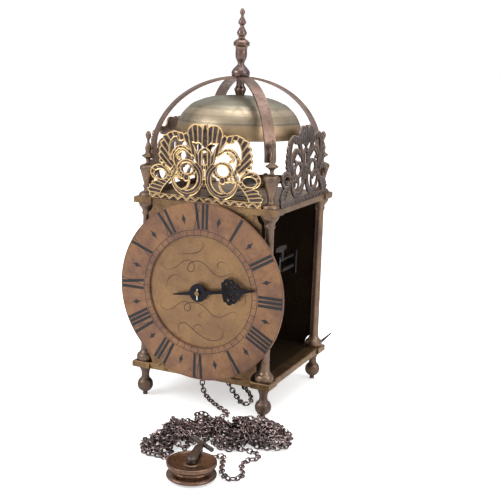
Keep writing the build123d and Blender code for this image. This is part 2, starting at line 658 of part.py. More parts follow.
with BuildPart() as verge:
    with BuildSketch(facing(COCK_Y[0] + 0.1, 0, VERGE_Z)):
        Circle(PIVOT_RADIUS)
    extrude(amount=-3.4)
    with BuildSketch(facing(COCK_Y[1] + END_SHAKE, 0, VERGE_Z)):
        Circle(VERGE_RADIUS)
    extrude(amount=COCK_Y[1] + END_SHAKE - PENDULUM_Y - 1.5)
    for y, turn in PALLETS:
        with BuildSketch(facing(y, 0, VERGE_Z)):
            with Locations(Location((0, 0, 0), (0, 0, turn))):
                shape((-0.6, 0), (-0.6, -PALLET_REACH), (0.6, -PALLET_REACH), (0.6, 0))
        extrude(amount=-PALLET_WIDTH)
save(verge.part, "verge")

BACK_COCK_Y = (68.8, 71.8)
with BuildPart() as verge_back_cock:
    with BuildSketch(level(TOP_TOP_Z)):
        with Locations((4.5, 64.0)):
            Rectangle(19.0, 15.6)
        with Locations(COCK_SCREW):
            Circle(SCREW_RADIUS, mode=Mode.SUBTRACT)
    extrude(amount=COCK_FOOT)
    with BuildSketch(facing(BACK_COCK_Y[0], 0, 0)):
        with Locations((0, (TOP_TOP_Z + 214.0) / 2)):
            Rectangle(6.0, 214.0 - TOP_TOP_Z)
        with Locations((0, 214.0)):
            Circle(3.0)
        with Locations((0, VERGE_Z)):
            Circle(VERGE_RADIUS + RUNNING, mode=Mode.SUBTRACT)
    extrude(amount=BACK_COCK_Y[0] - BACK_COCK_Y[1])
save(verge_back_cock.part, "verge_back_cock")

ROD_RADIUS = 1.1
ROD_LOW_Z = 47.0
BOB_PROFILE = [(1.1, 50.0), (5.0, 50.0), (8.6, 53.6), (10.0, 59.4), (9.2, 65.0), (6.2, 70.4),
               (3.4, 74.6), (3.0, 77.0), (1.1, 77.0)]

with BuildPart() as pendulum_rod:
    with BuildSketch(facing(PENDULUM_Y - 1.6, 0, VERGE_Z)):
        Circle(3.2)
        Circle(VERGE_RADIUS, mode=Mode.SUBTRACT)
    extrude(amount=-3.2)
    with BuildSketch(level(ROD_LOW_Z, 0, PENDULUM_Y)):
        Circle(ROD_RADIUS)
    extrude(amount=VERGE_Z - 2.3 - ROD_LOW_Z)
save(pendulum_rod.part, "pendulum_rod")
save(turned(BOB_PROFILE, 0, PENDULUM_Y).part, "pendulum_bob")

# --- Striking train ------------------------------------------------------------------------------

STRIKE_GREAT_Z = 78.0
LOCKING_Z = STRIKE_GREAT_Z + centre_distance(GREAT_TEETH, GREAT_MODULE)
FLY_Z = LOCKING_Z + centre_distance(SECOND_TEETH, SECOND_MODULE)
COUNT_Z = STRIKE_GREAT_Z + centre_distance(COUNT_TEETH, COUNT_MODULE)
HAMMER_PINS = 12
HAMMER_PIN_CIRCLE = 32.9
STRIKE_WHEEL_Y = 18.0
STRIKE_FRONT_Y = MIDDLE_BAR_BACK_Y + END_SHAKE
STRIKE_REAR_Y = 44.2

with BuildPart() as strike_great_wheel:
    rods = [(STRIKE_FRONT_Y - PIVOT_LENGTH, STRIKE_FRONT_Y, PIVOT_RADIUS),
            (STRIKE_FRONT_Y, STRIKE_REAR_Y, ARBOR_RADIUS), (15.0, 20.5, 6.0)]
    for front, rear, radius in rods + sprocket_rods(STRIKE_CHAIN_Y):
        with BuildSketch(facing(front, 0, STRIKE_GREAT_Z)):
            Circle(radius)
        extrude(amount=front - rear)
    with BuildSketch(facing(STRIKE_WHEEL_Y, 0, STRIKE_GREAT_Z)):
        crossed_wheel(GREAT_TEETH, GREAT_MODULE, UP)
    extrude(amount=-2.5)
    with BuildSketch(facing(40.0, 0, STRIKE_GREAT_Z)):
        leaves(COUNT_MODULE, UP)
    extrude(amount=-4.2)
    with BuildSketch(facing(STRIKE_WHEEL_Y - 2.6, 0, STRIKE_GREAT_Z)):
        with PolarLocations(HAMMER_PIN_CIRCLE, HAMMER_PINS):
            Circle(1.0)
    extrude(amount=-4.0)
save(strike_great_wheel.part, "strike_great_wheel")

LOCKING_PIN = (21.0, 4.0, 6.4)
with BuildPart() as locking_wheel:
    for front, rear, radius in between("middle_bar", "rear_bar"):
        with BuildSketch(facing(front, 0, LOCKING_Z)):
            Circle(radius)
        extrude(amount=front - rear)
    with BuildSketch(facing(2.0, 0, LOCKING_Z)):
        crossed_wheel(SECOND_TEETH, SECOND_MODULE, UP)
        with Locations((LOCKING_PIN[0], 0)):
            Circle(3.2)
    extrude(amount=-2.0)
    with BuildSketch(facing(17.0, 0, LOCKING_Z)):
        leaves(GREAT_MODULE, DOWN)
    extrude(amount=-4.5)
    with BuildSketch(facing(LOCKING_PIN[1], LOCKING_PIN[0], LOCKING_Z)):
        Circle(1.0)
    extrude(amount=LOCKING_PIN[1] - LOCKING_PIN[2])
save(locking_wheel.part, "locking_wheel")

FLY_SPAN, FLY_SHEET = 36.0, 0.9
with BuildPart() as fly:
    for front, rear, radius in between("middle_bar", "rear_bar", 1.5):
        with BuildSketch(facing(front, 0, FLY_Z)):
            Circle(radius)
        extrude(amount=front - rear)
    with BuildSketch(facing(1.0, 0, FLY_Z)):
        leaves(SECOND_MODULE, DOWN)
    extrude(amount=-4.0)
    with BuildSketch(facing(10.0, 0, FLY_Z)):
        Rectangle(FLY_SPAN, FLY_SHEET)
        Circle(2.6)
    extrude(amount=-18.0)
save(fly.part, "fly")

STUD_FOR_COUNT = 2.0
COUNT_WHEEL_Y = 41.0
COUNT_BLOWS = [sum(range(1, hour + 1)) for hour in range(1, 13)]
with BuildPart() as count_wheel:
    with BuildSketch(facing(COUNT_WHEEL_Y, 0, COUNT_Z)):
        crossed_wheel(COUNT_TEETH, COUNT_MODULE, DOWN)
        Circle(STUD_FOR_COUNT + RUNNING, mode=Mode.SUBTRACT)
    extrude(amount=-2.0)
    with BuildSketch(facing(COUNT_WHEEL_Y + 2.0, 0, COUNT_Z)):
        Circle(21.0)
        Circle(18.4, mode=Mode.SUBTRACT)
        for blows in COUNT_BLOWS:
            with PolarLocations(20.6, 1, blows * 360 / COUNT_BLOWS[-1]):
                Rectangle(2.4, 1.4, mode=Mode.SUBTRACT)
    extrude(amount=-1.4)
save(count_wheel.part, "count_wheel")

# --- Levers of the striking train ----------------------------------------------------------------

LEVER_X = 50.0
LOCKING_DETENT_Z = 140.5
LIFTING_DETENT_Z = 129.5
LIFTING_THIN_RADIUS = 1.2
WING_REAR_Y = BAR_Y["rear_bar"] - END_SHAKE

with BuildPart() as locking_detent:
    for front, rear, radius in between("middle_bar", "rear_bar", 1.6):
        with BuildSketch(facing(front, LEVER_X, LOCKING_DETENT_Z)):
            Circle(radius)
        extrude(amount=front - rear)
    with BuildSketch(facing(4.7, 0, 0)):
        shape((LEVER_X - 1, LOCKING_DETENT_Z + 2.6), (LEVER_X + 1.6, LOCKING_DETENT_Z - 2.4),
                (LEVER_X - 2, LOCKING_DETENT_Z - 2.6), (24.0, 127.2), (22.6, 130.0), (26.0, 131.6))
    extrude(amount=-1.6)
    with BuildSketch(sideways(LEVER_X - 1.5, 0, 0)):
        shape((1.0, LOCKING_DETENT_Z), (0.0, 149.0), (-15.0, 151.4), (-15.0, 155.0), (-4.0, 156.0),
                (12.0, 154.6), (12.0, 151.0), (5.0, 149.6), (4.6, LOCKING_DETENT_Z))
    extrude(amount=3.0)
save(locking_detent.part, "locking_detent")

with BuildPart() as lifting_detent:
    for front, rear, radius in ((STAR_Y, 4.4, LIFTING_THIN_RADIUS), (4.4, WING_REAR_Y, 2.0),
                                (WING_REAR_Y, WING_REAR_Y + PIVOT_LENGTH, PIVOT_RADIUS)):
        with BuildSketch(facing(front, LEVER_X, LIFTING_DETENT_Z)):
            Circle(radius)
        extrude(amount=front - rear)
    with BuildSketch(facing(STAR_Y, 0, 0)):
        shape((LEVER_X + 2, LIFTING_DETENT_Z + 2), (LEVER_X + 2, LIFTING_DETENT_Z - 2),
                (14.0, 117.4), (11.8, 118.6), (11.8, 120.4))
    extrude(amount=-1.4)
save(lifting_detent.part, "lifting_detent")

HAMMER_HEAD_Z = 264.0
with BuildPart() as hammer:
    for front, rear, radius in between("middle_bar", "rear_bar"):
        with BuildSketch(facing(front, HAMMER_X, HAMMER_Z)):
            Circle(radius)
        extrude(amount=front - rear)
    with BuildSketch(facing(HAMMER_Y - 1.5, 0, 0)):
        shape((HAMMER_X - 2, HAMMER_Z), (HAMMER_X - 1.2, HAMMER_HEAD_Z + 2),
                (HAMMER_X + 1.2, HAMMER_HEAD_Z + 2), (HAMMER_X + 2, HAMMER_Z))
        with Locations((HAMMER_X, HAMMER_Z)):
            Circle(3.6)
        shape((-51.6, 133.4), (-49.2, 137.6), (-21.7, 105.0), (-23.9, 103.0))
    extrude(amount=-3.0)
    with BuildSketch(facing(HAMMER_Y + 1.4, 0, 0)):
        shape((-26.4, 110.6), (-28.8, 108.2), (-23.9, 103.0), (-21.7, 105.0))
    extrude(amount=-3.2)
    with BuildSketch(sideways(-54.4, HAMMER_Y, HAMMER_HEAD_Z)):
        Circle(4.0)
    extrude(amount=10.0)
    with BuildSketch(sideways(-54.4, HAMMER_Y, HAMMER_HEAD_Z)):
        Circle(4.0)
    with BuildSketch(sideways(-56.4, HAMMER_Y, HAMMER_HEAD_Z)):
        Circle(2.4)
    loft()
save(hammer.part, "hammer")

with BuildPart() as hammer_stop:
    with BuildSketch(facing(HAMMER_Y - 3.0, 0, 0)):
        shape((-62.0, BOTTOM_TOP_Z), (-62.0, 38.6), (-57.2, 38.6), (-56.4, 40.0), (-55.2, 152.0),
                (-54.4, 152.0), (-55.4, 39.0), (-55.4, BOTTOM_TOP_Z))
    extrude(amount=-6.0)
save(hammer_stop.part, "hammer_stop")

# --- Upright bars --------------------------------------------------------------------------------

WING_LOW_Z, WING_HIGH_Z = 129.0, 138.0
WING_TIP = 53.0
TIP_LOW_Z, TIP_HIGH_Z = 121.0, 145.0


def bar(name, bores, wings=False, tip_bores=()):
    """An upright bar, tenoned into both plates. Bores: height and radius."""
    with BuildPart() as piece:
        with BuildSketch(facing(BAR_Y[name], 0, CASE_MID_Z)):
            Rectangle(BAR_WIDTH, CASE_INSIDE)
            Rectangle(TENON_WIDTH, CASE_INSIDE + 2 * TENON_LENGTH)
        extrude(amount=-BAR_THICKNESS)
        if wings:
            with BuildSketch(facing(BAR_Y[name], 0, (WING_LOW_Z + WING_HIGH_Z) / 2)):
                Rectangle(2 * WING_TIP, WING_HIGH_Z - WING_LOW_Z)
                with Locations((-LEVER_X, -0.5), (LEVER_X, -0.5)):
                    Rectangle(6.0, TIP_HIGH_Z - TIP_LOW_Z)
            extrude(amount=-BAR_THICKNESS)
        with BuildSketch(facing(BAR_Y[name], 0, 0)):
            for height, radius in bores:
                with Locations((0, height)):
                    Circle(radius)
            for x, height, radius in tip_bores:
                with Locations((x, height)):
                    Circle(radius)
        extrude(amount=-BAR_THICKNESS, mode=Mode.SUBTRACT)
    return piece


HOLE = PIVOT_HOLE_RADIUS
save(bar("front_bar", [(GOING_GREAT_Z, ARBOR_RADIUS + RUNNING), (DIAL_Z, HOLE),
                       (GOING_SECOND_Z, HOLE), (CONTRATE_Z, HOLE)]).part, "front_bar")
save(bar("middle_bar", [(GOING_GREAT_Z, HOLE), (GOING_SECOND_Z, HOLE), (CONTRATE_Z, HOLE),
                        (STRIKE_GREAT_Z, HOLE), (LOCKING_Z, HOLE), (FLY_Z, HOLE)], True,
         [(HAMMER_X, HAMMER_Z, HOLE), (LEVER_X, LOCKING_DETENT_Z, HOLE),
          (LEVER_X, LIFTING_DETENT_Z, LIFTING_THIN_RADIUS + RUNNING)]).part, "middle_bar")
rear_bar = bar("rear_bar", [(STRIKE_GREAT_Z, ARBOR_RADIUS + RUNNING), (LOCKING_Z, HOLE),
                            (FLY_Z, HOLE)], True,
               [(HAMMER_X, HAMMER_Z, HOLE), (LEVER_X, LOCKING_DETENT_Z, HOLE),
                (LEVER_X, LIFTING_DETENT_Z, HOLE)])
with BuildPart() as rear_bar_with_stud:
    add(rear_bar.part)
    with BuildSketch(facing(REAR_BAR_BACK_Y, 0, COUNT_Z)):
        Circle(STUD_FOR_COUNT)
    extrude(amount=-8.0)
    with BuildSketch(facing(REAR_BAR_BACK_Y, 0, COUNT_Z)):
        Circle(3.4)
    extrude(amount=REAR_BAR_BACK_Y - COUNT_WHEEL_Y + 0.3)
save(rear_bar_with_stud.part, "rear_bar")

# --- Bell, straps and top finial -----------------------------------------------------------------

BELL_PROFILE = [
    (62.0, 261.5), (62.4, 267.0), (60.5, 275.0), (57.7, 281.0), (53.6, 286.5), (50.7, 289.0),
    (46.7, 292.8), (40.9, 295.2), (34.2, 298.0), (24.3, 300.2), (8.0, 301.5), (STUD_HOLE_RADIUS, 301.5),
    (STUD_HOLE_RADIUS, 298.6), (8.0, 298.6), (24.0, 297.4), (33.4, 295.4), (39.6, 292.7),
    (45.2, 290.4), (49.1, 286.9), (51.8, 284.6), (55.5, 279.5), (58.1, 274.2), (59.9, 267.0),
    (59.5, 261.5)]
save(turned(BELL_PROFILE).part, "bell")

NUT_ACROSS = 10.0
STUD_LOW_Z = 292.6
with BuildPart() as bell_nut:
    with BuildSketch(level(293.6)):
        RegularPolygon(NUT_ACROSS / 2, 6, major_radius=False)
        Circle(STUD_RADIUS, mode=Mode.SUBTRACT)
    extrude(amount=5.0)
save(bell_nut.part, "bell_nut")

SPACER_TOP_Z = 317.8
STRAP_TOP_Z = 320.0
save(turned([(STUD_HOLE_RADIUS, 301.5), (4.1, 301.5), (4.8, 303.6), (6.3, 307.1), (4.8, 309.6),
             (4.05, 310.8), (4.05, SPACER_TOP_Z), (STUD_HOLE_RADIUS, SPACER_TOP_Z)]).part, "bell_spacer")

STRAP_OUTER = (88.6, 75.1)
STRAP_INNER = (86.4, 72.9)
STRAP_CENTRE_Z = 245.0
STRAP_WIDTH = 11.0
STRAP_PIN_START = 87.2
STRAP_PIN_END = 92.0

with BuildPart() as bell_straps:
    for turn in (45.0, 135.0):
        across = (cos(radians(turn)), sin(radians(turn)), 0)
        normal = (sin(radians(turn)), -cos(radians(turn)), 0)
        with BuildSketch(Plane((0, CASE_Y, STRAP_CENTRE_Z), x_dir=across, z_dir=normal)):
            Ellipse(*STRAP_OUTER)
            Ellipse(*STRAP_INNER, mode=Mode.SUBTRACT)
            with Locations((0, -50)):
                Rectangle(200, 100, mode=Mode.SUBTRACT)
        extrude(amount=STRAP_WIDTH / 2, both=True)
        for side in (-1, 1):
            outward = (side * across[0], side * across[1], 0)
            start = (STRAP_PIN_START * outward[0], CASE_Y + STRAP_PIN_START * outward[1], STRAP_PIN_Z)
            with BuildSketch(Plane(start, z_dir=outward)):
                Circle(STRAP_PIN_RADIUS)
            extrude(amount=STRAP_PIN_END - STRAP_PIN_START)
    with BuildSketch(level(SPACER_TOP_Z - 5)):
        Circle(STUD_HOLE_RADIUS)
    extrude(amount=10, mode=Mode.SUBTRACT)
    with BuildSketch(level(STRAP_TOP_Z)):
        Circle(20)
    extrude(amount=5, mode=Mode.SUBTRACT)
save(bell_straps.part, "bell_straps")

TOP_FINIAL_PROFILE = [
    (0, STUD_LOW_Z), (STUD_RADIUS, STUD_LOW_Z), (STUD_RADIUS, STRAP_TOP_Z), (8.6, STRAP_TOP_Z),
    (9.04, 321.0), (9.04, 324.4), (8.2, 325.8), (6.6, 327.8), (3.4, 331.0), (3.1, 332.6),
    (4.2, 334.8), (5.4, 337.4), (5.8, 341.0), (5.5, 345.6), (6.1, 348.4), (7.9, 349.4),
    (7.9, 352.6), (6.0, 354.4), (3.2, 356.2), (2.8, 357.2), (4.6, 359.8), (4.9, 361.6),
    (4.2, 363.4), (2.3, 366.6), (1.85, 368.5), (3.6, 370.2), (4.0, 371.6), (3.3, 373.2),
    (1.6, 376.4), (1.26, 378.1), (2.2, 379.6), (2.5, 381.2), (2.1, 382.8), (0.9, TOTAL_HEIGHT - 0.4),
    (0, TOTAL_HEIGHT)]
save(turned(TOP_FINIAL_PROFILE).part, "top_finial")

# --- Pierced frets -------------------------------------------------------------------------------

FRET_SHEET = 1.8
FRET_HALF = 59.2
FRET_FACE = 73.2


def ribbon(points, start, end, steps=3):
    """The outline of a band along a smooth line through points, its width running start to end."""
    run = [points[0]] + list(points) + [points[-1]]
    line = []
    for index in range(1, len(run) - 2):
        a, b, c, d = run[index - 1:index + 3]
        for step in range(steps):
            t = step / steps
            line.append(tuple(0.5 * (2 * q + (r - p) * t + (2 * p - 5 * q + 4 * r - s) * t * t
                                     + (3 * q - p - 3 * r + s) * t ** 3)
                              for p, q, r, s in zip(a, b, c, d)))
    line.append(points[-1])
    left, right = [], []
    for index, (x, y) in enumerate(line):
        (x0, y0), (x1, y1) = line[max(index - 1, 0)], line[min(index + 1, len(line) - 1)]
        angle = atan2(y1 - y0, x1 - x0)
        half = (start + (end - start) * index / (len(line) - 1)) / 2
        left.append((x - half * sin(angle), y + half * cos(angle)))
        right.append((x + half * sin(angle), y - half * cos(angle)))
    return left + right[::-1]


def fret_outline():
    """Scrolls, plumes and a cartouche in openwork: one half drawn, then mirrored."""
    with Locations((18.5, 22)):
        Ellipse(17, 17.3)
    with Locations((20, 23)):
        Ellipse(12.6, 12.3, mode=Mode.SUBTRACT)
    with Locations((25, 38)):
        Rectangle(26, 20, mode=Mode.SUBTRACT)
    shape((1.3, 16), (7.5, 30), (10.4, 37.6), (-2, 37.6), (-2, 33), (1.3, 33))
    with Locations((29.8, 24.4)):
        Circle(3.4)
    for x, y, radius in ((17.2, 25, 2.5), (19.5, 21.5, 2.7), (22.6, 23.4, 2.1)):
        with Locations((x, y)):
            Circle(radius)
    shape(*ribbon([(20, 22.6), (25, 22.2), (29.8, 24.4)], 2.6, 2.2))
    shape(*ribbon([(18.6, 25.4), (16.6, 21.6), (16.3, 17.4), (18.6, 13.0), (23.4, 10.0)], 1.8, 2.6))
    shape(*ribbon([(22.6, 48.6), (26.9, 46.2), (29.6, 42.8), (28.2, 40.2)], 2.6, 2.2))
    with Locations((26.9, 40.4)):
        Circle(1.8)
    with Locations(Location((18.8, 31.5, 0), (0, 0, 0))):
        Ellipse(10.6, 8.6)
        Ellipse(6.4, 5.0, mode=Mode.SUBTRACT)
    shape(*ribbon([(12, 44.2), (16.5, 47.4), (22, 50.8), (29, 49.9), (34.3, 43), (33.8, 36.7),
                     (30.5, 27.6)], 3.6, 3.6))
    shape((33, 33), (36.4, 39), (37.5, 45), (37.4, 51), (36, 56), (33, 59.6), (28, 61), (27, 65),
            (33, 65.8), (39, 63.6), (43, 60), (45.4, 54), (46, 42), (43, 34), (36, 28))
    for x, y, radius in ((42.0, 58.6, 3.0), (44.2, 53, 3.2), (45.6, 47.4, 3.0), (46.2, 42, 3.0),
                         (45.8, 36.8, 2.6), (43.6, 32.6, 2.2), (25.7, 60.5, 4.2)):
        with Locations((x, y)):
            Circle(radius)
    shape(*ribbon([(5.5, 37), (13, 50.5), (22.5, 63)], 5, 6.4))
    with Locations((9.5, 64.4)):
        Circle(9)
    shape((-4, 55.5), (0, 51.5), (9, 58), (9, 70), (0, 68), (-4, 68))
    with Locations((0, 68)):
        Rectangle(4, 10.8)
    with Locations((0, 42)):
        Rectangle(14, 10)
    with Locations((0, 45)):
        Circle(7)
    with Locations((47.6, 25.2)):
        Ellipse(10.6, 8.0)
    with Locations((46.8, 23.6)):
        Ellipse(6.9, 4.5, mode=Mode.SUBTRACT)
    shape((33.6, 24), (36.8, 18.6), (40.4, 15.0), (44.0, 10.6), (47.6, 4), (57.4, 4), (60.0, 6.4),
            (61.4, 9.0), (58.6, 10.4), (59.4, 12.8), (56.6, 13.4), (56.2, 16.2), (53, 17.0),
            (48, 17.8), (43.8, 18.4), (38.5, 22.5))
    with Locations((29.8, 24.4)):
        Circle(1.1, mode=Mode.SUBTRACT)
    mirror(about=Plane.YZ)
    with Locations((0, 2.5)):
        Rectangle(2 * FRET_HALF, 5)
    with Locations((0, 42)):
        SlotOverall(12.4, 5.0, rotation=90, mode=Mode.SUBTRACT)
    with Locations((0, 27.6)):
        Rectangle(5.0, 11.6)
    with Locations((0, 27.0)):
        SlotOverall(8.0, 1.4, rotation=90, mode=Mode.SUBTRACT)


def fret(x, y, turn, tabs):
    """A fret on the plate's edge, turned about the vertical, with its fixing tabs behind it."""
    outward = Plane((x, CASE_Y + y, TOP_TOP_Z), x_dir=(cos(radians(turn)), sin(radians(turn)), 0),
                    z_dir=(sin(radians(turn)), -cos(radians(turn)), 0))
    with BuildPart() as piece:
        with BuildSketch(outward):
            fret_outline()
        extrude(amount=-FRET_SHEET)
        with BuildSketch(level(TOP_TOP_Z)):
            for tab_x, tab_y in tabs:
                with Locations((tab_x, tab_y)):
                    Rectangle(6.4, 6.4)
            for tab_x, tab_y in tabs:
                with Locations((tab_x, tab_y)):
                    Circle(SCREW_RADIUS, mode=Mode.SUBTRACT)
        extrude(amount=1.4)
    return piece


save(fret(0, -FRET_FACE, 0, TAB_PLACES[:2]).part, "fret_front")
save(fret(-FRET_FACE, 0, -90, TAB_PLACES[2:4]).part, "fret_left")
save(fret(FRET_FACE, 0, 90, TAB_PLACES[4:]).part, "fret_right")

SCREW_HEAD = (2.5, 1.3)
with BuildPart() as plate_screws:
    for places, seat in ((TAB_PLACES + [COCK_SCREW], COCK_FOOT), (POTENCE_SCREWS, 2.0)):
        with BuildSketch(level(TOP_TOP_Z - SCREW_DEPTH)):
            with Locations(*places):
                Circle(SCREW_RADIUS)
        extrude(amount=SCREW_DEPTH + seat)
        with BuildSketch(level(TOP_TOP_Z + seat)):
            with Locations(*places):
                Circle(SCREW_HEAD[0])
        extrude(amount=SCREW_HEAD[1])
save(plate_screws.part, "plate_screws")

# --- Chains, pulley and its stirrup ----------------------------------------------------------------

CHAIN_RADIUS = CHAIN_DIAMETER / 2
FLOOR_CHAIN_Z = CHAIN_RADIUS + 0.2


def place(x, y, z):
    return (x, CASE_Y + y, z)


def rounded(points):
    """Arc radii for a chain through points: 0.45 of the shorter run over the half turn's tangent."""
    radii = []
    for a, b, c in zip(points, points[1:], points[2:]):
        before, after = Vector(*b) - Vector(*a), Vector(*c) - Vector(*b)
        half = radians(before.get_angle(after)) / 2
        radii.append(round(0.45 * min(before.length, after.length) / tan(half), 2))
    return radii


def tube(name, points, radii=None):
    radii = radii or rounded(points)
    print(name, "arc radii", radii)
    with BuildPart() as piece:
        with BuildLine() as route:
            FilletPolyline(*points, radius=radii)
        with BuildSketch(Plane(route.line @ 0, z_dir=route.line % 0)):
            Circle(CHAIN_RADIUS)
        sweep(transition=Transition.ROUND)
    length = sum(edge.length for edge in route.line.edges())
    section = 3.14159265 * CHAIN_RADIUS ** 2
    print(name, "length", round(length, 1), "volume over section times length",
          round(piece.part.volume / (section * length), 4), "solids", len(piece.solids()))
    save(piece.part, name)


SPROCKET_LOOP = CHAIN_X - 0.05
going_top = GOING_GREAT_Z + CHAIN_X
strike_top = STRIKE_GREAT_Z + CHAIN_X
GOING_ROUTE = [
    place(26, -98, FLOOR_CHAIN_Z), place(38, -67, FLOOR_CHAIN_Z),
    place(-CHAIN_X, GOING_CHAIN_Y, 20), place(-CHAIN_X, GOING_CHAIN_Y, going_top),
    place(CHAIN_X, GOING_CHAIN_Y, going_top), place(CHAIN_X, GOING_CHAIN_Y, 20),
    place(33, -52, 6), place(52, -60, FLOOR_CHAIN_Z)]
STRIKE_ROUTE = [
    place(52, -60, FLOOR_CHAIN_Z), place(62, -50, FLOOR_CHAIN_Z), place(50, -28, 4),
    place(CHAIN_X, STRIKE_CHAIN_Y, 20), place(CHAIN_X, STRIKE_CHAIN_Y, strike_top),
    place(-CHAIN_X, STRIKE_CHAIN_Y, strike_top), place(-CHAIN_X, STRIKE_CHAIN_Y, 20),
    place(18, -22, 15), place(46, -48, 12), place(52, -72, 7), place(62, -88, FLOOR_CHAIN_Z)]
LOOP_ROUTE = [place(x, y, FLOOR_CHAIN_Z) for x, y in (
    (74, -160), (80, -184), (89, -202), (101, -209), (105, -196), (95, -181), (94, -169),
    (104, -165), (110, -146))]


def sprocket_radii(points, place_of_top):
    """Arc radii of a chain that runs up through the plate, over its sprocket and down again."""
    radii = rounded(points)
    radii[place_of_top - 2] = 13.0
    radii[place_of_top - 1] = radii[place_of_top] = SPROCKET_LOOP
    radii[place_of_top + 1] = 13.0
    return radii


tube("going_chain", GOING_ROUTE, sprocket_radii(GOING_ROUTE, 3))
tube("strike_chain", STRIKE_ROUTE, sprocket_radii(STRIKE_ROUTE, 4))
tube("chain_floor_loop", LOOP_ROUTE)

PILE_TIERS = [(0.0, 6.0, 0.0), (6.0, 12.0, 6.0)]      # from, to and how far the side lies back
PILE_LEFT = [(8, -203), (20, -198), (27, -183), (36, -160), (42, -136), (40, -127), (50, -116),
             (48, -100), (36, -92), (27, -90), (19, -101), (10, -117), (5, -134), (1, -150),
             (-3, -166), (0, -186), (3, -200)]
PILE_RIGHT = [(52, -92), (60, -82), (68, -79), (80, -86), (95, -91), (108, -97), (119, -106),
              (124, -118), (127, -138), (118, -146), (108, -147), (94, -140), (86, -146),
              (76, -157), (70, -167), (60, -160), (53, -148), (51, -138), (55, -128), (47, -116),
              (47, -100)]


def pile(name, outline):
    """The outer form of a heap of chain: a low mound in two tiers."""
    with BuildPart() as piece:
        for low, high, back in PILE_TIERS:
            with BuildSketch(level(low)):
                shape(*outline)
                if back:
                    offset(amount=-back, kind=Kind.INTERSECTION, mode=Mode.REPLACE)
            extrude(amount=high - low)
    save(piece.part, name)


pile("chain_pile_left", PILE_LEFT)
pile("chain_pile_right", PILE_RIGHT)

PULLEY_X, PULLEY_Y = 68.0, -215.0
PULLEY_PROFILE = [
    (2.05, 2.0), (6.0, 2.0), (7.0, 3.6), (16.0, 3.2), (19.5, 2.0), (20.8, 2.8), (21.0, 4.2),
    (19.6, 5.4), (16.0, 7.0), (15.4, 8.4), (16.0, 9.8), (20.2, 11.4), (21.0, 12.6), (20.9, 15.0),
    (19.6, 15.4), (17.5, 14.4), (7.0, 12.6), (6.0, 13.4), (2.05, 13.4)]
save(turned(PULLEY_PROFILE, PULLEY_X, PULLEY_Y).part, "pulley")

STIRRUP_TURN = degrees(atan2(35, -9))
ARM_REACH = 27.0
STRIP_THICKNESS = 1.5
UPPER_ARM_Z = 15.9
BAR_ENDS = ((45.0, -172.0), (73.0, -188.0))
BAR_Z = 15.2
BAR_RADIUS = 2.0

with BuildPart() as pulley_stirrup:
    ground = Plane((PULLEY_X, CASE_Y + PULLEY_Y, 0), z_dir=(0, 0, 1),
                   x_dir=(cos(radians(STIRRUP_TURN)), sin(radians(STIRRUP_TURN)), 0))
    for low in (0.0, UPPER_ARM_Z):
        with BuildSketch(ground.offset(low)):
            Circle(4.6)
            shape((0, -4.4), (ARM_REACH, -3.2), (ARM_REACH, 3.2), (0, 4.4))
        extrude(amount=STRIP_THICKNESS)
    with BuildSketch(ground):
        with Locations((ARM_REACH - 1.0, 0)):
            Rectangle(2.0, 6.4)
    extrude(amount=UPPER_ARM_Z + STRIP_THICKNESS)
    with BuildSketch(ground.offset(13.6)):
        with Locations((ARM_REACH + 4.5, 0)):
            Rectangle(11.0, 5.0)
    extrude(amount=3.4)
    with BuildSketch(ground):
        Circle(2.0)
    extrude(amount=UPPER_ARM_Z)
    with BuildSketch(ground.offset(13.8)):
        Circle(4.0)
    extrude(amount=UPPER_ARM_Z - 13.8)
    with BuildSketch(ground.offset(UPPER_ARM_Z + STRIP_THICKNESS)):
        Circle(3.8)
    extrude(amount=1.6, taper=25)
    (x0, y0), (x1, y1) = BAR_ENDS
    with BuildSketch(Plane(place(x0, y0, BAR_Z), z_dir=(x1 - x0, y1 - y0, 0))):
        Circle(BAR_RADIUS)
    extrude(amount=sqrt((x1 - x0) ** 2 + (y1 - y0) ** 2))
save(pulley_stirrup.part, "pulley_stirrup")
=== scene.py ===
"""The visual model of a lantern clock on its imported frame: chain first, then each sub-assembly."""
import json
import logging
import math
import random
from dataclasses import dataclass, field
from enum import Enum
from typing import Any, Iterable, Sequence

import bmesh
import bpy
from mathutils import Matrix, Vector


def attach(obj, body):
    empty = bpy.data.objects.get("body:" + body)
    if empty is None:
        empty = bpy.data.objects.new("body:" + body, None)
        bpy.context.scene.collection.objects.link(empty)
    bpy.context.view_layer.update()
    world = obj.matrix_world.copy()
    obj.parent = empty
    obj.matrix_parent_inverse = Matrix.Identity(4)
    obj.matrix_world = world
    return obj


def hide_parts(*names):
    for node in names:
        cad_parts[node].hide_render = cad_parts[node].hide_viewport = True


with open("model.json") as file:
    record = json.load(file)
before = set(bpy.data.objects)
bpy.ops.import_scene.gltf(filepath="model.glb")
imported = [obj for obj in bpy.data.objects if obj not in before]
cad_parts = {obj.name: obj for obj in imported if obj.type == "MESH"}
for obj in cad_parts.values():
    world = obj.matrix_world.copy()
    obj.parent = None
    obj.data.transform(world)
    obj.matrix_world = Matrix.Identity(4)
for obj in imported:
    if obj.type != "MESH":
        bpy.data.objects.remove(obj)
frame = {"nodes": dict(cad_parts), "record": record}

LOG = logging.getLogger("clock")
MM = 0.001
CASE_Y = -19.0
DIAL_Z = 117.5
CORNER = 65.3
PLATE_LOW_TOP = 36.8
PLATE_HIGH_TOP = 203.3
CORNERS = {"front_left": (-CORNER, -CORNER), "front_right": (CORNER, -CORNER),
           "rear_left": (-CORNER, CORNER), "rear_right": (CORNER, CORNER)}
Point = tuple[float, float, float]
Colour = tuple[float, float, float]
Profile = Sequence[tuple[float, float]]
WHITE = (1.0, 1.0, 1.0)
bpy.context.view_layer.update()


def at(x: float, y: float, z: float) -> Vector:
    """A place in metres, from millimetres about the case's own axis."""
    return Vector((x, y + CASE_Y, z)) * MM


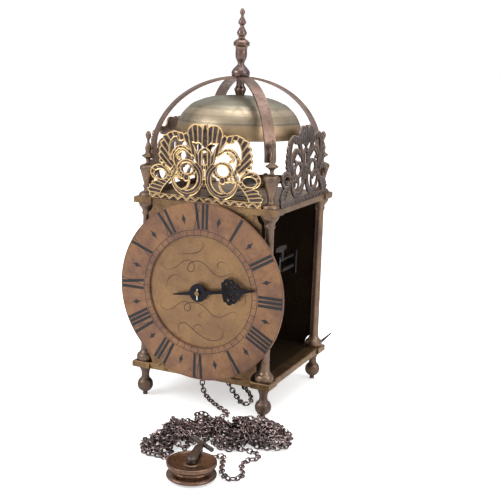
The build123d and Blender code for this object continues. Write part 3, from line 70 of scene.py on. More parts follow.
def tone(*display: int) -> Colour:
    """A linear colour from three display values of 0 to 255."""
    parts = [v / 255 for v in display]
    return tuple(v / 12.92 if v <= 0.04045 else ((v + 0.055) / 1.055) ** 2.4 for v in parts)


# --- Shader graphs ---


class Wire:
    """An output socket whose arithmetic adds Math nodes."""

    def __init__(self, graph: "Graph", socket: bpy.types.NodeSocket) -> None:
        """Keeps the socket and the graph that it belongs to."""
        self.graph = graph
        self.socket = socket

    def _math(self, operation: str, *others: "Wire | float", swap: bool = False) -> "Wire":
        """One Math node.

        Args:
            operation: The Math node's operation.
            others: The values beside this one.
            swap: Puts this value second.

        Returns:
            The node's result.
        """
        values = [self, *others]
        if swap:
            values = values[::-1]
        return self.graph.node("ShaderNodeMath", {"operation": operation}, dict(enumerate(values)))

    def __add__(self, other: "Wire | float") -> "Wire":
        """The sum."""
        return self._math("ADD", other)

    def __sub__(self, other: "Wire | float") -> "Wire":
        """The difference."""
        return self._math("SUBTRACT", other)

    def __mul__(self, other: "Wire | float") -> "Wire":
        """The product."""
        return self._math("MULTIPLY", other)

    def __rsub__(self, other: float) -> "Wire":
        """The difference, with the number first."""
        return self._math("SUBTRACT", other, swap=True)

    def __abs__(self) -> "Wire":
        """The size without its sign."""
        return self._math("ABSOLUTE")

    def root(self) -> "Wire":
        """The square root."""
        return self._math("SQRT")

    def angle_over(self, run: "Wire") -> "Wire":
        """The angle, in radians, of a slope with this rise over a run."""
        return self._math("ARCTAN2", run)

    def pingpong(self, scale: float) -> "Wire":
        """A triangle wave between 0 and scale."""
        return self._math("PINGPONG", scale)

    def ramp(self, low: float, high: float, start: float = 0.0, end: float = 1.0) -> "Wire":
        """A smooth step from start, at low, to end, at high."""
        return self.graph.node("ShaderNodeMapRange", {"interpolation_type": "SMOOTHSTEP"},
                               {"Value": self, "From Min": low, "From Max": high,
                                "To Min": start, "To Max": end})


class Graph:
    """A node tree whose nodes are all made by one method."""

    def __init__(self, tree: bpy.types.NodeTree) -> None:
        """Empties the tree."""
        self.tree = tree
        self.tree.nodes.clear()

    def add(self, kind: str, settings: dict[str, Any], inputs: dict[Any, Any]) -> bpy.types.Node:
        """Adds a node.

        Args:
            kind: The node's type.
            settings: Its own settings, set first; "stops" sets a colour ramp's two.
            inputs: Values or wires for its sockets, by name or number.

        Returns:
            The node.
        """
        made = self.tree.nodes.new(kind)
        for key, value in settings.items():
            if key == "stops":
                for element, (place, colour) in zip(made.color_ramp.elements, value):
                    element.position = place
                    element.color = (*colour, 1.0)
            else:
                setattr(made, key, value)
        for key, value in inputs.items():
            self.feed(made.inputs[key], value)
        return made

    def node(self, kind: str, settings: dict[str, Any], inputs: dict[Any, Any],
             out: int | str = 0) -> Wire:
        """Adds a node and returns one of its outputs as a wire."""
        return Wire(self, self.add(kind, settings, inputs).outputs[out])

    def feed(self, socket: bpy.types.NodeSocket, value: Any) -> None:
        """Links a wire to a socket, or sets the socket's own value."""
        if isinstance(value, Wire):
            self.tree.links.new(value.socket, socket)
        elif isinstance(value, tuple) and len(value) == 3 and socket.type == "RGBA":
            socket.default_value = (*value, 1.0)
        else:
            socket.default_value = value


class Surface(Graph):
    """The node tree of one material, with its shader and its object coordinates."""

    def __init__(self, name: str) -> None:
        """Starts a material with an output and a Principled shader."""
        self.material = bpy.data.materials.new(name)
        self.material.use_nodes = True
        super().__init__(self.material.node_tree)
        self.shader = self.add("ShaderNodeBsdfPrincipled", {}, {})
        self.lit = Wire(self, self.shader.outputs[0])
        self.output = self.add("ShaderNodeOutputMaterial", {}, {"Surface": self.lit})
        self.place = self.node("ShaderNodeTexCoord", {}, {}, "Object")

    def shade(self, **sockets: Any) -> None:
        """Feeds the shader's sockets; underscores in the names stand for blanks."""
        for key, value in sockets.items():
            self.feed(self.shader.inputs[key.replace("_", " ")], value)

    def axes(self) -> tuple[Wire, Wire, Wire]:
        """The three object coordinates, in metres."""
        parts = [self.node("ShaderNodeSeparateXYZ", {}, {0: self.place}, i) for i in range(3)]
        return parts[0], parts[1], parts[2]

    def noise(self, scale: float, detail: float = 3.0, rough: float = 0.5,
              stretch: Point = (1.0, 1.0, 1.0)) -> Wire:
        """Noise of 0 to 1 on the object coordinates.

        Args:
            scale: Waves per metre.
            detail: Octaves.
            rough: How strong the finer octaves are.
            stretch: A factor for each axis.

        Returns:
            The noise as a wire.
        """
        vector = self.place
        if stretch != (1.0, 1.0, 1.0):
            vector = self.node("ShaderNodeMapping", {}, {"Vector": self.place, "Scale": stretch})
        return self.node("ShaderNodeTexNoise", {}, {"Vector": vector, "Scale": scale,
                                                    "Detail": detail, "Roughness": rough})

    def mix(self, factor: Wire | float, first: Any, second: Any) -> Wire:
        """A colour between first and second."""
        return self.node("ShaderNodeMix", {"data_type": "RGBA"},
                         {0: factor, 6: first, 7: second}, 2)

    def bump(self, height: Wire, depth: float, strength: float = 0.5) -> Wire:
        """A normal from a height of 0 to 1 that stands for depth metres."""
        return self.node("ShaderNodeBump", {}, {"Height": height, "Distance": depth,
                                                "Strength": strength}, "Normal")


# --- Finishes ---


class Grain(Enum):
    """How the surface was worked."""

    PLAIN = "plain"
    TURNED = "turned"
    FILED = "filed"
    FORGED = "forged"


@dataclass(frozen=True)
class Finish:
    """A finish: the material that it becomes, and the name of a material slot."""

    name: str
    slot: str

    def paint(self, graph: Surface) -> None:
        """Fills the material's node tree."""
        raise NotImplementedError


@dataclass(frozen=True)
class AgedMetal(Finish):
    """Old metal: two tones in patches, dark spots, worn places, a worked surface and painted shade
    inside the case.
    """

    base: Colour
    second: Colour
    dark: Colour
    rough: tuple[float, float] = (0.28, 0.48)
    grain: Grain = Grain.PLAIN
    spots: float = 0.45
    depth: float = 0.00012
    metallic: float = 1.0
    # Strength of the painted shade that darkens the metal deep inside the case.
    inside_shade: float = 0.0

    def painted_shade_inside(self, graph: Surface) -> Wire:
        """Painted shade: 1 deep inside the case, 0 outside it."""
        x, y, z = graph.axes()
        side = 1 - abs(x).ramp(0.0590, 0.0640)
        front = 1 - abs(y - CASE_Y * MM + 0.0011).ramp(0.0693, 0.0706)
        high = z.ramp(0.0362, 0.0369) * (1 - z.ramp(0.1972, 0.1976))
        return side * front * high * self.inside_shade

    def height(self, graph: Surface) -> Wire:
        """The relief of the worked surface, 0 to 1."""
        fine = graph.noise(1400.0, 4.0, 0.6)
        if self.grain is Grain.TURNED:
            return graph.noise(30.0, 3.0, 0.6, (1.0, 1.0, 90.0)) * 0.7 + fine * 0.3
        if self.grain is Grain.FILED:
            return graph.noise(240.0, 4.0, 0.6, (0.12, 0.12, 5.0)) * 0.6 + fine * 0.4
        if self.grain is Grain.FORGED:
            return graph.noise(170.0, 5.0, 0.62) * 0.8 + fine * 0.2
        return graph.noise(420.0, 5.0, 0.6) * 0.5 + fine * 0.5

    def paint(self, graph: Surface) -> None:
        """Patches, stains and spots over the worked surface, and painted shade inside the case."""
        patches = graph.noise(38.0, 4.0, 0.6).ramp(0.36, 0.66)
        spots = graph.noise(310.0, 6.0, 0.68).ramp(0.50, 0.72, 0.0, self.spots)
        stains = graph.noise(95.0, 5.0, 0.66).ramp(0.52, 0.74, 0.0, self.spots)
        colour = graph.mix(patches, self.base, self.second)
        colour = graph.mix(stains, colour, self.dark)
        colour = graph.mix(spots, colour, self.dark)
        rough = graph.noise(260.0, 4.0, 0.6).ramp(0.3, 0.7, *self.rough) + spots * 0.18
        # Painted shade: the metal deep inside the case is darkened towards a near-black brown.
        if self.inside_shade:
            inside = self.painted_shade_inside(graph)
            colour = graph.mix(inside, colour, tone(38, 27, 20))
            rough = rough + inside * 0.25
        graph.shade(Base_Color=colour, Roughness=rough, Metallic=self.metallic,
                    Normal=graph.bump(self.height(graph), self.depth))


@dataclass(frozen=True)
class GiltFret(Finish):
    """A fret whose rims are rubbed bright, with a zigzag cut along its foot."""

    rim: Colour
    ground: Colour
    dark: Colour
    along: int
    recess: bool = False
    scroll: tuple[float, float] = (0.0185, 0.0225)
    reach: tuple[float, float] = (0.0182, 0.0190)
    tooth: float = 0.0046

    def cuts(self, run: Wire, up: Wire, wander: Wire) -> Wire:
        """Cuts that follow the scrolls round and fan out along the plumes.

        Args:
            run: Place along the fret.
            up: Height over the plate.
            wander: Noise that makes the lines uneven.

        Returns:
            1 on a ridge between two cuts, else 0.
        """
        side, high = abs(run) - self.scroll[0], up - self.scroll[1]
        far = (side * side + high * high).root()
        rings = 1 - (far + wander * 0.0008 - 0.0004).pingpong(0.00150).ramp(0.00024, 0.00046)
        angle = (up - 0.002).angle_over(abs(run) - 0.004)
        fan = 1 - (angle + wander * 0.02).pingpong(0.040).ramp(0.008, 0.015)
        outside = far.ramp(*self.reach)
        return rings * (1 - outside) + fan * outside

    def paint(self, graph: Surface) -> None:
        """The bright rims or the sunk ground, with the foot's cut marks."""
        axes = graph.axes()
        run = axes[0] if self.along == 0 else axes[1] - CASE_Y * MM
        up = axes[2] - PLATE_HIGH_TOP * MM
        wander = graph.noise(120.0, 4.0, 0.6)
        hatch = self.cuts(run, up, wander)
        worn = graph.noise(210.0, 5.0, 0.65).ramp(0.46, 0.66)
        # The dark ground is partly dirt in the recess and partly painted shade that stands for
        # piercings the shape does not have.
        if self.recess:
            colour = graph.mix(hatch * 0.8, graph.mix(worn, self.ground, self.dark), self.rim)
        else:
            colour = graph.mix(worn * 0.75, self.rim, self.ground)
        wave = run.pingpong(self.tooth) * 0.78
        line = 1 - abs(up - 0.0007 - wave).ramp(0.0004, 0.0008)
        second = 1 - abs(up - 0.0022 - wave).ramp(0.0003, 0.0006)
        band = 1 - up.ramp(self.tooth, 0.0050)
        marks = (line + second * 0.7) * band
        ground = graph.mix(wander.ramp(0.4, 0.6), self.ground, self.dark)
        foot = graph.mix(marks, ground, self.rim)
        colour = graph.mix(band, colour, foot)
        rough = graph.noise(300.0, 3.0, 0.6).ramp(0.3, 0.7, 0.24, 0.5)
        relief = hatch * 0.5 + marks * 0.8 + graph.noise(700.0, 4.0, 0.6) * 0.3
        graph.shade(Base_Color=colour, Roughness=rough, Metallic=1.0,
                    Normal=graph.bump(relief, 0.00022))


@dataclass(frozen=True)
class Wax(Finish):
    """Black wax in an engraved line, a little dull and worn through."""

    colour: Colour
    worn: Colour

    def paint(self, graph: Surface) -> None:
        """Wax that is worn through in places."""
        wear = graph.noise(650.0, 5.0, 0.7).ramp(0.58, 0.74, 0.0, 0.7)
        colour = graph.mix(wear, self.colour, self.worn)
        graph.shade(Base_Color=colour, Roughness=wear * 0.1 + 0.55, Metallic=0.0,
                    Normal=graph.bump(graph.noise(1200.0, 4.0, 0.6), 0.00008))


@dataclass(frozen=True)
class BellMetal(Finish):
    """Turned bell metal: rings of tool marks, greenish on the crown, warm at the lip, with a painted
    highlight band round the shoulder.
    """

    crown: Colour
    side: Colour
    lip: Colour
    dark: Colour
    # The colour of the painted highlight band at the shoulder.
    light: Colour = tone(206, 186, 160)
    edge: float = 0.2768
    # Height of the painted highlight band.
    shoulder_highlight: float = 0.2885

    def paint(self, graph: Surface) -> None:
        """Colours by height, with a painted highlight band at the shoulder, under mottle and rings
        of tool marks.
        """
        _, _, z = graph.axes()
        rings = graph.noise(22.0, 4.0, 0.62, (0.02, 0.02, 60.0))
        mottle = graph.noise(70.0, 6.0, 0.66)
        colour = graph.mix((z + mottle * 0.010).ramp(0.291, 0.300), self.side, self.crown)
        colour = graph.mix(1 - (z + mottle * 0.002).ramp(0.2752, self.edge), colour, self.lip)
        edge = 1 - abs(z - self.edge).ramp(0.0004, 0.0010)
        colour = graph.mix(edge * 0.6, colour, self.dark)
        # Painted highlight: a pale band round the bell's shoulder.
        shoulder_highlight = 1 - abs(z + mottle * 0.003 - self.shoulder_highlight).ramp(0.0016, 0.0034)
        colour = graph.mix(shoulder_highlight * 0.55, colour, self.light)
        colour = graph.mix(mottle.ramp(0.46, 0.72, 0.0, 0.5), colour, self.dark)
        colour = graph.mix(rings.ramp(0.42, 0.62, 0.0, 0.28), colour, self.dark)
        rough = rings.ramp(0.3, 0.7, 0.36, 0.46) + mottle.ramp(0.5, 0.7, 0.0, 0.12)
        graph.shade(Base_Color=colour, Roughness=rough, Metallic=0.86,
                    Normal=graph.bump(rings * 0.8 + graph.noise(900.0, 4.0, 0.6) * 0.2, 0.00010))


class Finishes:
    """Every finish of the clock, made once each."""

    # The last number of PLATE, SHEET, STEEL and WHEEL is the strength of their painted shade inside
    # the case.
    FRAME = AgedMetal(
        "frame_brass", "frame_brass", tone(138, 114, 94), tone(114, 95, 84), tone(70, 55, 47),
        (0.32, 0.50), Grain.TURNED, 0.5, 0.00006, 0.92)
    FOOT = AgedMetal(
        "foot_brass", "frame_brass", tone(122, 101, 84), tone(102, 86, 78), tone(64, 50, 43),
        (0.34, 0.54), Grain.TURNED, 0.5, 0.00008, 0.92)
    PLATE = AgedMetal(
        "plate_brass", "plate_brass", tone(146, 118, 84), tone(118, 93, 72), tone(70, 50, 38),
        (0.30, 0.50), Grain.FILED, 0.65, 0.00010, 0.95, 0.93)
    SHEET = AgedMetal(
        "sheet_brass", "plate_brass", tone(144, 115, 82), tone(116, 90, 70), tone(70, 50, 38),
        (0.30, 0.50), Grain.FILED, 0.6, 0.00012, 0.95, 0.93)
    DIAL = AgedMetal(
        "dial_brass", "dial_brass", tone(150, 113, 84), tone(122, 92, 78), tone(104, 72, 58),
        (0.34, 0.50), Grain.PLAIN, 0.5, 0.00004, 0.78)
    CENTRE = AgedMetal(
        "centre_brass", "centre_brass", tone(150, 118, 84), tone(134, 104, 78), tone(112, 82, 58),
        (0.34, 0.46), Grain.PLAIN, 0.4, 0.00004, 0.78)
    STRAP = AgedMetal(
        "strap_metal", "frame_brass", tone(146, 120, 106), tone(118, 99, 91), tone(88, 70, 60),
        (0.34, 0.50), Grain.FORGED, 0.4, 0.00012)
    TOP = AgedMetal(
        "finial_metal", "frame_brass", tone(134, 110, 100), tone(112, 96, 92), tone(78, 60, 55),
        (0.24, 0.38), Grain.TURNED, 0.3, 0.00004)
    IRON = AgedMetal(
        "forged_iron", "iron", tone(58, 55, 55), tone(44, 42, 44), tone(26, 22, 22), (0.34, 0.56),
        Grain.FORGED, 0.6, 0.00025)
    HAND = AgedMetal(
        "hand_iron", "iron", tone(42, 42, 48), tone(34, 34, 38), tone(20, 17, 17), (0.26, 0.46),
        Grain.PLAIN, 0.5, 0.00012)
    STEEL = AgedMetal(
        "dull_steel", "steel_dark", tone(112, 104, 100), tone(88, 82, 80), tone(40, 32, 28),
        (0.3, 0.5), Grain.FILED, 0.55, 0.00010, 1.0, 0.72)
    CHAIN = AgedMetal(
        "chain_steel", "chain_steel", tone(160, 142, 138), tone(104, 92, 92), tone(44, 36, 36),
        (0.20, 0.36), Grain.PLAIN, 0.6, 0.00005)
    PIN = AgedMetal(
        "pin_steel", "pin_steel", tone(222, 212, 194), tone(200, 190, 174), tone(120, 108, 96),
        (0.3, 0.45), Grain.PLAIN, 0.25, 0.00005)
    WHEEL = AgedMetal(
        "wheel_brass", "wheel_brass", tone(140, 112, 74), tone(116, 92, 64), tone(64, 46, 32),
        (0.28, 0.46), Grain.PLAIN, 0.5, 0.00008, 1.0, 0.55)
    PULLEY = AgedMetal(
        "pulley_brass", "pulley_brass", tone(128, 102, 84), tone(104, 80, 70), tone(66, 50, 44),
        (0.24, 0.42), Grain.TURNED, 0.5, 0.00007)
    LEAD = AgedMetal(
        "bob_brass", "lead", tone(128, 104, 78), tone(104, 86, 70), tone(60, 46, 38), (0.3, 0.5),
        Grain.TURNED, 0.5, 0.00010)
    BELL = BellMetal(
        "bell_metal", "bell_metal", tone(150, 146, 128), tone(158, 144, 122), tone(178, 152, 118),
        tone(112, 100, 84))
    RIM = GiltFret(
        "fret_gilt", "fret_brass", tone(236, 202, 146), tone(182, 148, 102), tone(84, 70, 70), 0)
    # Its dark ground colours are partly painted shade that stands for openings in the fret.
    GROUND = GiltFret(
        "fret_ground", "fret_brass", tone(206, 172, 122), tone(86, 74, 74), tone(58, 50, 54), 0,
        True)
    # Painted shade: the side frets take darker copies of the front fret's colours.
    SHADED_SIDE_RIM = GiltFret(
        "fret_side", "fret_brass", tone(138, 116, 102), tone(116, 96, 88), tone(74, 60, 54), 1)
    SHADED_SIDE_GROUND = GiltFret(
        "fret_side_ground", "fret_brass", tone(116, 96, 86), tone(74, 60, 56), tone(50, 40, 38), 1,
        True)
    WAX = Wax("black_wax", "dial_brass", tone(27, 25, 28), tone(88, 68, 56))
    SCROLL = Wax("scroll_lines", "centre_brass", tone(62, 46, 36), tone(118, 90, 66))

    _made: dict[str, bpy.types.Material] = {}

    @classmethod
    def material(cls, finish: Finish) -> bpy.types.Material:
        """The material of a finish, built at its first use."""
        if finish.name not in cls._made:
            graph = Surface(finish.name)
            finish.paint(graph)
            cls._made[finish.name] = graph.material
        return cls._made[finish.name]


# --- Shared bench work ---


class Bench:
    """Steps that several sub-assemblies share."""

    dressed: set[str] = set()

    @staticmethod
    def piece(mesh_data: bmesh.types.BMesh | bpy.types.Mesh, name: str, body: str,
              finishes: Sequence[Finish], crease: float = 34.0,
              replaces: Iterable[str] = ()) -> bpy.types.Object:
        """Turns a shape into a piece that rides on a body.

        Args:
            mesh_data: The shape, in place; a bmesh is freed.
            name: The piece's name.
            body: The body that it rides on.
            finishes: Its finishes, in the order of its material indices.
            crease: The angle above which an edge stays sharp, in degrees.
            replaces: The CAD nodes that it stands for.

        Returns:
            The piece.
        """
        mesh = mesh_data
        if isinstance(mesh_data, bmesh.types.BMesh):
            mesh = bpy.data.meshes.new(name)
            mesh_data.to_mesh(mesh)
            mesh_data.free()
        mesh.shade_smooth()
        mesh.set_sharp_from_angle(angle=math.radians(crease))
        made = bpy.data.objects.new(name, mesh)
        bpy.context.scene.collection.objects.link(made)
        for finish in finishes:
            mesh.materials.append(Finishes.material(finish))
        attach(made, body)
        if replaces:
            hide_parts(*replaces)
        LOG.info("%s: %d faces on %s", name, len(mesh.polygons), body)
        return made

    @staticmethod
    def turn(profile: Profile, x: float, y: float, low: float, rounding: float = 36.0,
             sharp: Sequence[int] = (), sides: int = 64) -> bmesh.types.BMesh:
        """Turns a profile on a lathe about an upright axis.

        Args:
            profile: Radius and height of each point, from one end to the other.
            x: Place of the axis from the case's own.
            y: Place of the axis from the case's own.
            low: Height that is added to the profile's.
            rounding: How much of the runs beside a point its rounding takes, in percent.
            sharp: Points that stay sharp.
            sides: Steps round the axis.

        Returns:
            The turned shape.
        """
        bm = bmesh.new()
        line = [bm.verts.new(at(x + r, y, low + z)) for r, z in profile]
        for a, b in zip(line, line[1:]):
            bm.edges.new((a, b))
        soft = [v for i, v in enumerate(line) if 0 < i < len(line) - 1 and i not in sharp]
        bmesh.ops.bevel(bm, geom=soft, offset=rounding, offset_type="PERCENT", segments=3,
                        profile=0.5, affect="VERTICES", material=-1, clamp_overlap=True)
        bmesh.ops.spin(bm, geom=bm.verts[:] + bm.edges[:], cent=at(x, y, 0), axis=(0, 0, 1),
                       angle=math.tau, steps=sides, use_merge=True)
        bmesh.ops.remove_doubles(bm, verts=bm.verts, dist=2e-6)
        bmesh.ops.recalc_face_normals(bm, faces=bm.faces)
        return bm

    @staticmethod
    def smooth(points: Sequence[Vector], order: int, steps: int, thick: float = 0.0,
               swell: Sequence[float] = ()) -> bpy.types.Mesh:
        """A smooth line along control points.

        Args:
            points: The control points.
            order: The line's order; 3 keeps nearer to the points than 4.
            steps: Steps from one point to the next.
            thick: Half the line's thickness in metres; 0 leaves it bare.
            swell: A factor of the thickness for each point.

        Returns:
            The line's mesh, which the caller removes.
        """
        curve = bpy.data.curves.new("line", "CURVE")
        curve.dimensions = "3D"
        curve.resolution_u = steps
        curve.bevel_depth = thick
        curve.bevel_resolution = 1
        spline = curve.splines.new("NURBS")
        spline.points.add(len(points) - 1)
        for index, (slot, place) in enumerate(zip(spline.points, points)):
            slot.co = (*place, 1.0)
            slot.radius = swell[index] if swell else 1.0
        spline.order_u = order
        spline.use_endpoint_u = True
        holder = bpy.data.objects.new("line", curve)
        mesh = bpy.data.meshes.new_from_object(holder)
        bpy.data.objects.remove(holder)
        bpy.data.curves.remove(curve)
        return mesh

    @staticmethod
    def dress(nodes: Iterable[str], finish: Finish) -> None:
        """Gives CAD nodes a finish on their own slots."""
        for name in nodes:
            mesh = frame["nodes"][name].data
            Bench.dressed.add(name)
            if not mesh.materials:
                mesh.materials.append(Finishes.material(finish))
            for index in range(len(mesh.materials)):
                mesh.materials[index] = Finishes.material(finish)
            LOG.info("%s: dressed as %s", name, finish.name)


# --- Camera and stage ---


@dataclass
class Studio:
    """The photograph's camera, a pale floor and soft lamps."""

    place: Point = (0.408628, -0.883975, 0.346428)
    azimuth: float = 24.399
    elevation: float = 11.522
    roll: float = 1.930
    lens: float = 69.05
    floor_half: float = 14.0
    room: float = 0.92
    glow: float = 0.5

    def camera(self) -> None:
        """Sets up the camera."""
        az, el, roll = (math.radians(v) for v in (self.azimuth, self.elevation, self.roll))
        back = Vector((math.sin(az) * math.cos(el), -math.cos(az) * math.cos(el), math.sin(el)))
        right = (-back).cross(Vector((0, 0, 1))).normalized()
        up = right.cross(-back)
        across = right * math.cos(roll) + up * math.sin(roll)
        over = up * math.cos(roll) - right * math.sin(roll)
        data = bpy.data.cameras.new("camera")
        data.lens = self.lens
        data.sensor_width = 36.0
        data.sensor_fit = "HORIZONTAL"
        data.clip_start = 0.01
        camera = bpy.data.objects.new("camera", data)
        turn = Matrix((across, over, back)).transposed().to_4x4()
        camera.matrix_world = Matrix.Translation(self.place) @ turn
        bpy.context.scene.collection.objects.link(camera)
        bpy.context.scene.camera = camera

    def world(self) -> None:
        """A room that is light above and dim below, and white to the camera."""
        world = bpy.data.worlds.new("room")
        world.use_nodes = True
        graph = Graph(world.node_tree)
        around = graph.node("ShaderNodeTexCoord", {}, {}, "Generated")
        height = graph.node("ShaderNodeSeparateXYZ", {}, {0: around}, 2)
        stops = ((0.0, (0.42, 0.42, 0.44)), (0.75, WHITE))
        colour = graph.node("ShaderNodeValToRGB", {"stops": stops}, {0: height})
        soft = graph.node("ShaderNodeBackground", {}, {"Color": colour, "Strength": self.room})
        white = graph.node("ShaderNodeBackground", {}, {"Color": WHITE, "Strength": 1.0})
        seen = graph.node("ShaderNodeLightPath", {}, {}, "Is Camera Ray")
        mixed = graph.node("ShaderNodeMixShader", {}, {0: seen, 1: soft, 2: white})
        graph.add("ShaderNodeOutputWorld", {}, {"Surface": mixed})
        bpy.context.scene.world = world

    def floor(self) -> None:
        """A pale floor that keeps the object's soft shadow."""
        bm = bmesh.new()
        bmesh.ops.create_grid(bm, x_segments=1, y_segments=1, size=self.floor_half)
        mesh = bpy.data.meshes.new("floor")
        bm.to_mesh(mesh)
        bm.free()
        made = bpy.data.objects.new("floor", mesh)
        bpy.context.scene.collection.objects.link(made)
        graph = Surface("floor_white")
        fine = graph.noise(30.0, 2.0)
        graph.shade(Base_Color=graph.mix(fine, (0.86, 0.86, 0.86), (0.88, 0.88, 0.88)),
                    Roughness=0.9)
        glow = graph.node("ShaderNodeEmission", {}, {"Color": WHITE, "Strength": self.glow})
        both = graph.node("ShaderNodeAddShader", {}, {0: graph.lit, 1: glow})
        seen = graph.node("ShaderNodeLightPath", {}, {}, "Is Camera Ray")
        mixed = graph.node("ShaderNodeMixShader", {}, {0: seen, 1: graph.lit, 2: both})
        graph.feed(graph.output.inputs["Surface"], mixed)
        mesh.materials.append(graph.material)

    def lamp(self, name: str, place: Point, aim: Point, size: float, power: float) -> None:
        """One square lamp that looks at a point."""
        data = bpy.data.lights.new(name, "AREA")
        data.shape = "SQUARE"
        data.size = size
        data.energy = power
        lamp = bpy.data.objects.new(name, data)
        lamp.location = place
        lamp.rotation_euler = (Vector(aim) - Vector(place)).to_track_quat("-Z", "Y").to_euler()
        bpy.context.scene.collection.objects.link(lamp)

    def build(self) -> None:
        """Makes the camera, the room, the floor and the lamps."""
        bpy.context.scene.view_settings.view_transform = "Standard"
        self.camera()
        self.world()
        self.floor()
        self.lamp("lamp_left", (-0.9, -1.1, 1.0), (0, 0, 0.15), 0.8, 12.0)
        self.lamp("lamp_right", (1.5, -0.3, 0.9), (0, 0, 0.15), 0.9, 9.0)
        self.lamp("lamp_above", (0.1, 0.1, 1.7), (0, 0, 0.1), 1.1, 11.0)


# --- Winding chain ---


@dataclass
class Heap:
    """A heap of slack chain, dropped in loops along a line on the floor."""

    line: Sequence[tuple[float, float, float]]
    turns: int
    seed: int
    start: float = 0.0
    steps: int = 12

    def centre(self, share: float) -> tuple[float, float, float]:
        """The middle and the half width of the heap at a share of its line."""
        lengths = [math.dist(a[:2], b[:2]) for a, b in zip(self.line, self.line[1:])]
        left = share * sum(lengths)
        for a, b, run in zip(self.line, self.line[1:], lengths):
            if left <= run or b is self.line[-1]:
                part = min(left / run, 1.0)
                return tuple(p + (q - p) * part for p, q in zip(a, b))
            left -= run
        return self.line[-1]

    def flat(self) -> list[tuple[float, float]]:
        """The loops seen from above.

        Returns:
            Control points.
        """
        rng = random.Random(self.seed)
        count = self.turns * self.steps
        points = []
        size, lean, drift = 1.0, 0.0, (0.0, 0.0)
        for index in range(count):
            if index % self.steps == 0:
                size, lean = rng.uniform(0.62, 1.0), rng.uniform(-0.9, 0.9)
                drift = (rng.uniform(-2.5, 2.5), rng.uniform(-2.5, 2.5))
            x, y, half = self.centre(index / (count - 1))
            angle = self.start + math.tau * index / self.steps
            radius = half * size * (1 + 0.16 * math.cos(2 * angle + lean))
            points.append((x + drift[0] + radius * math.cos(angle),
                           y + drift[1] + radius * math.sin(angle)))
        return points


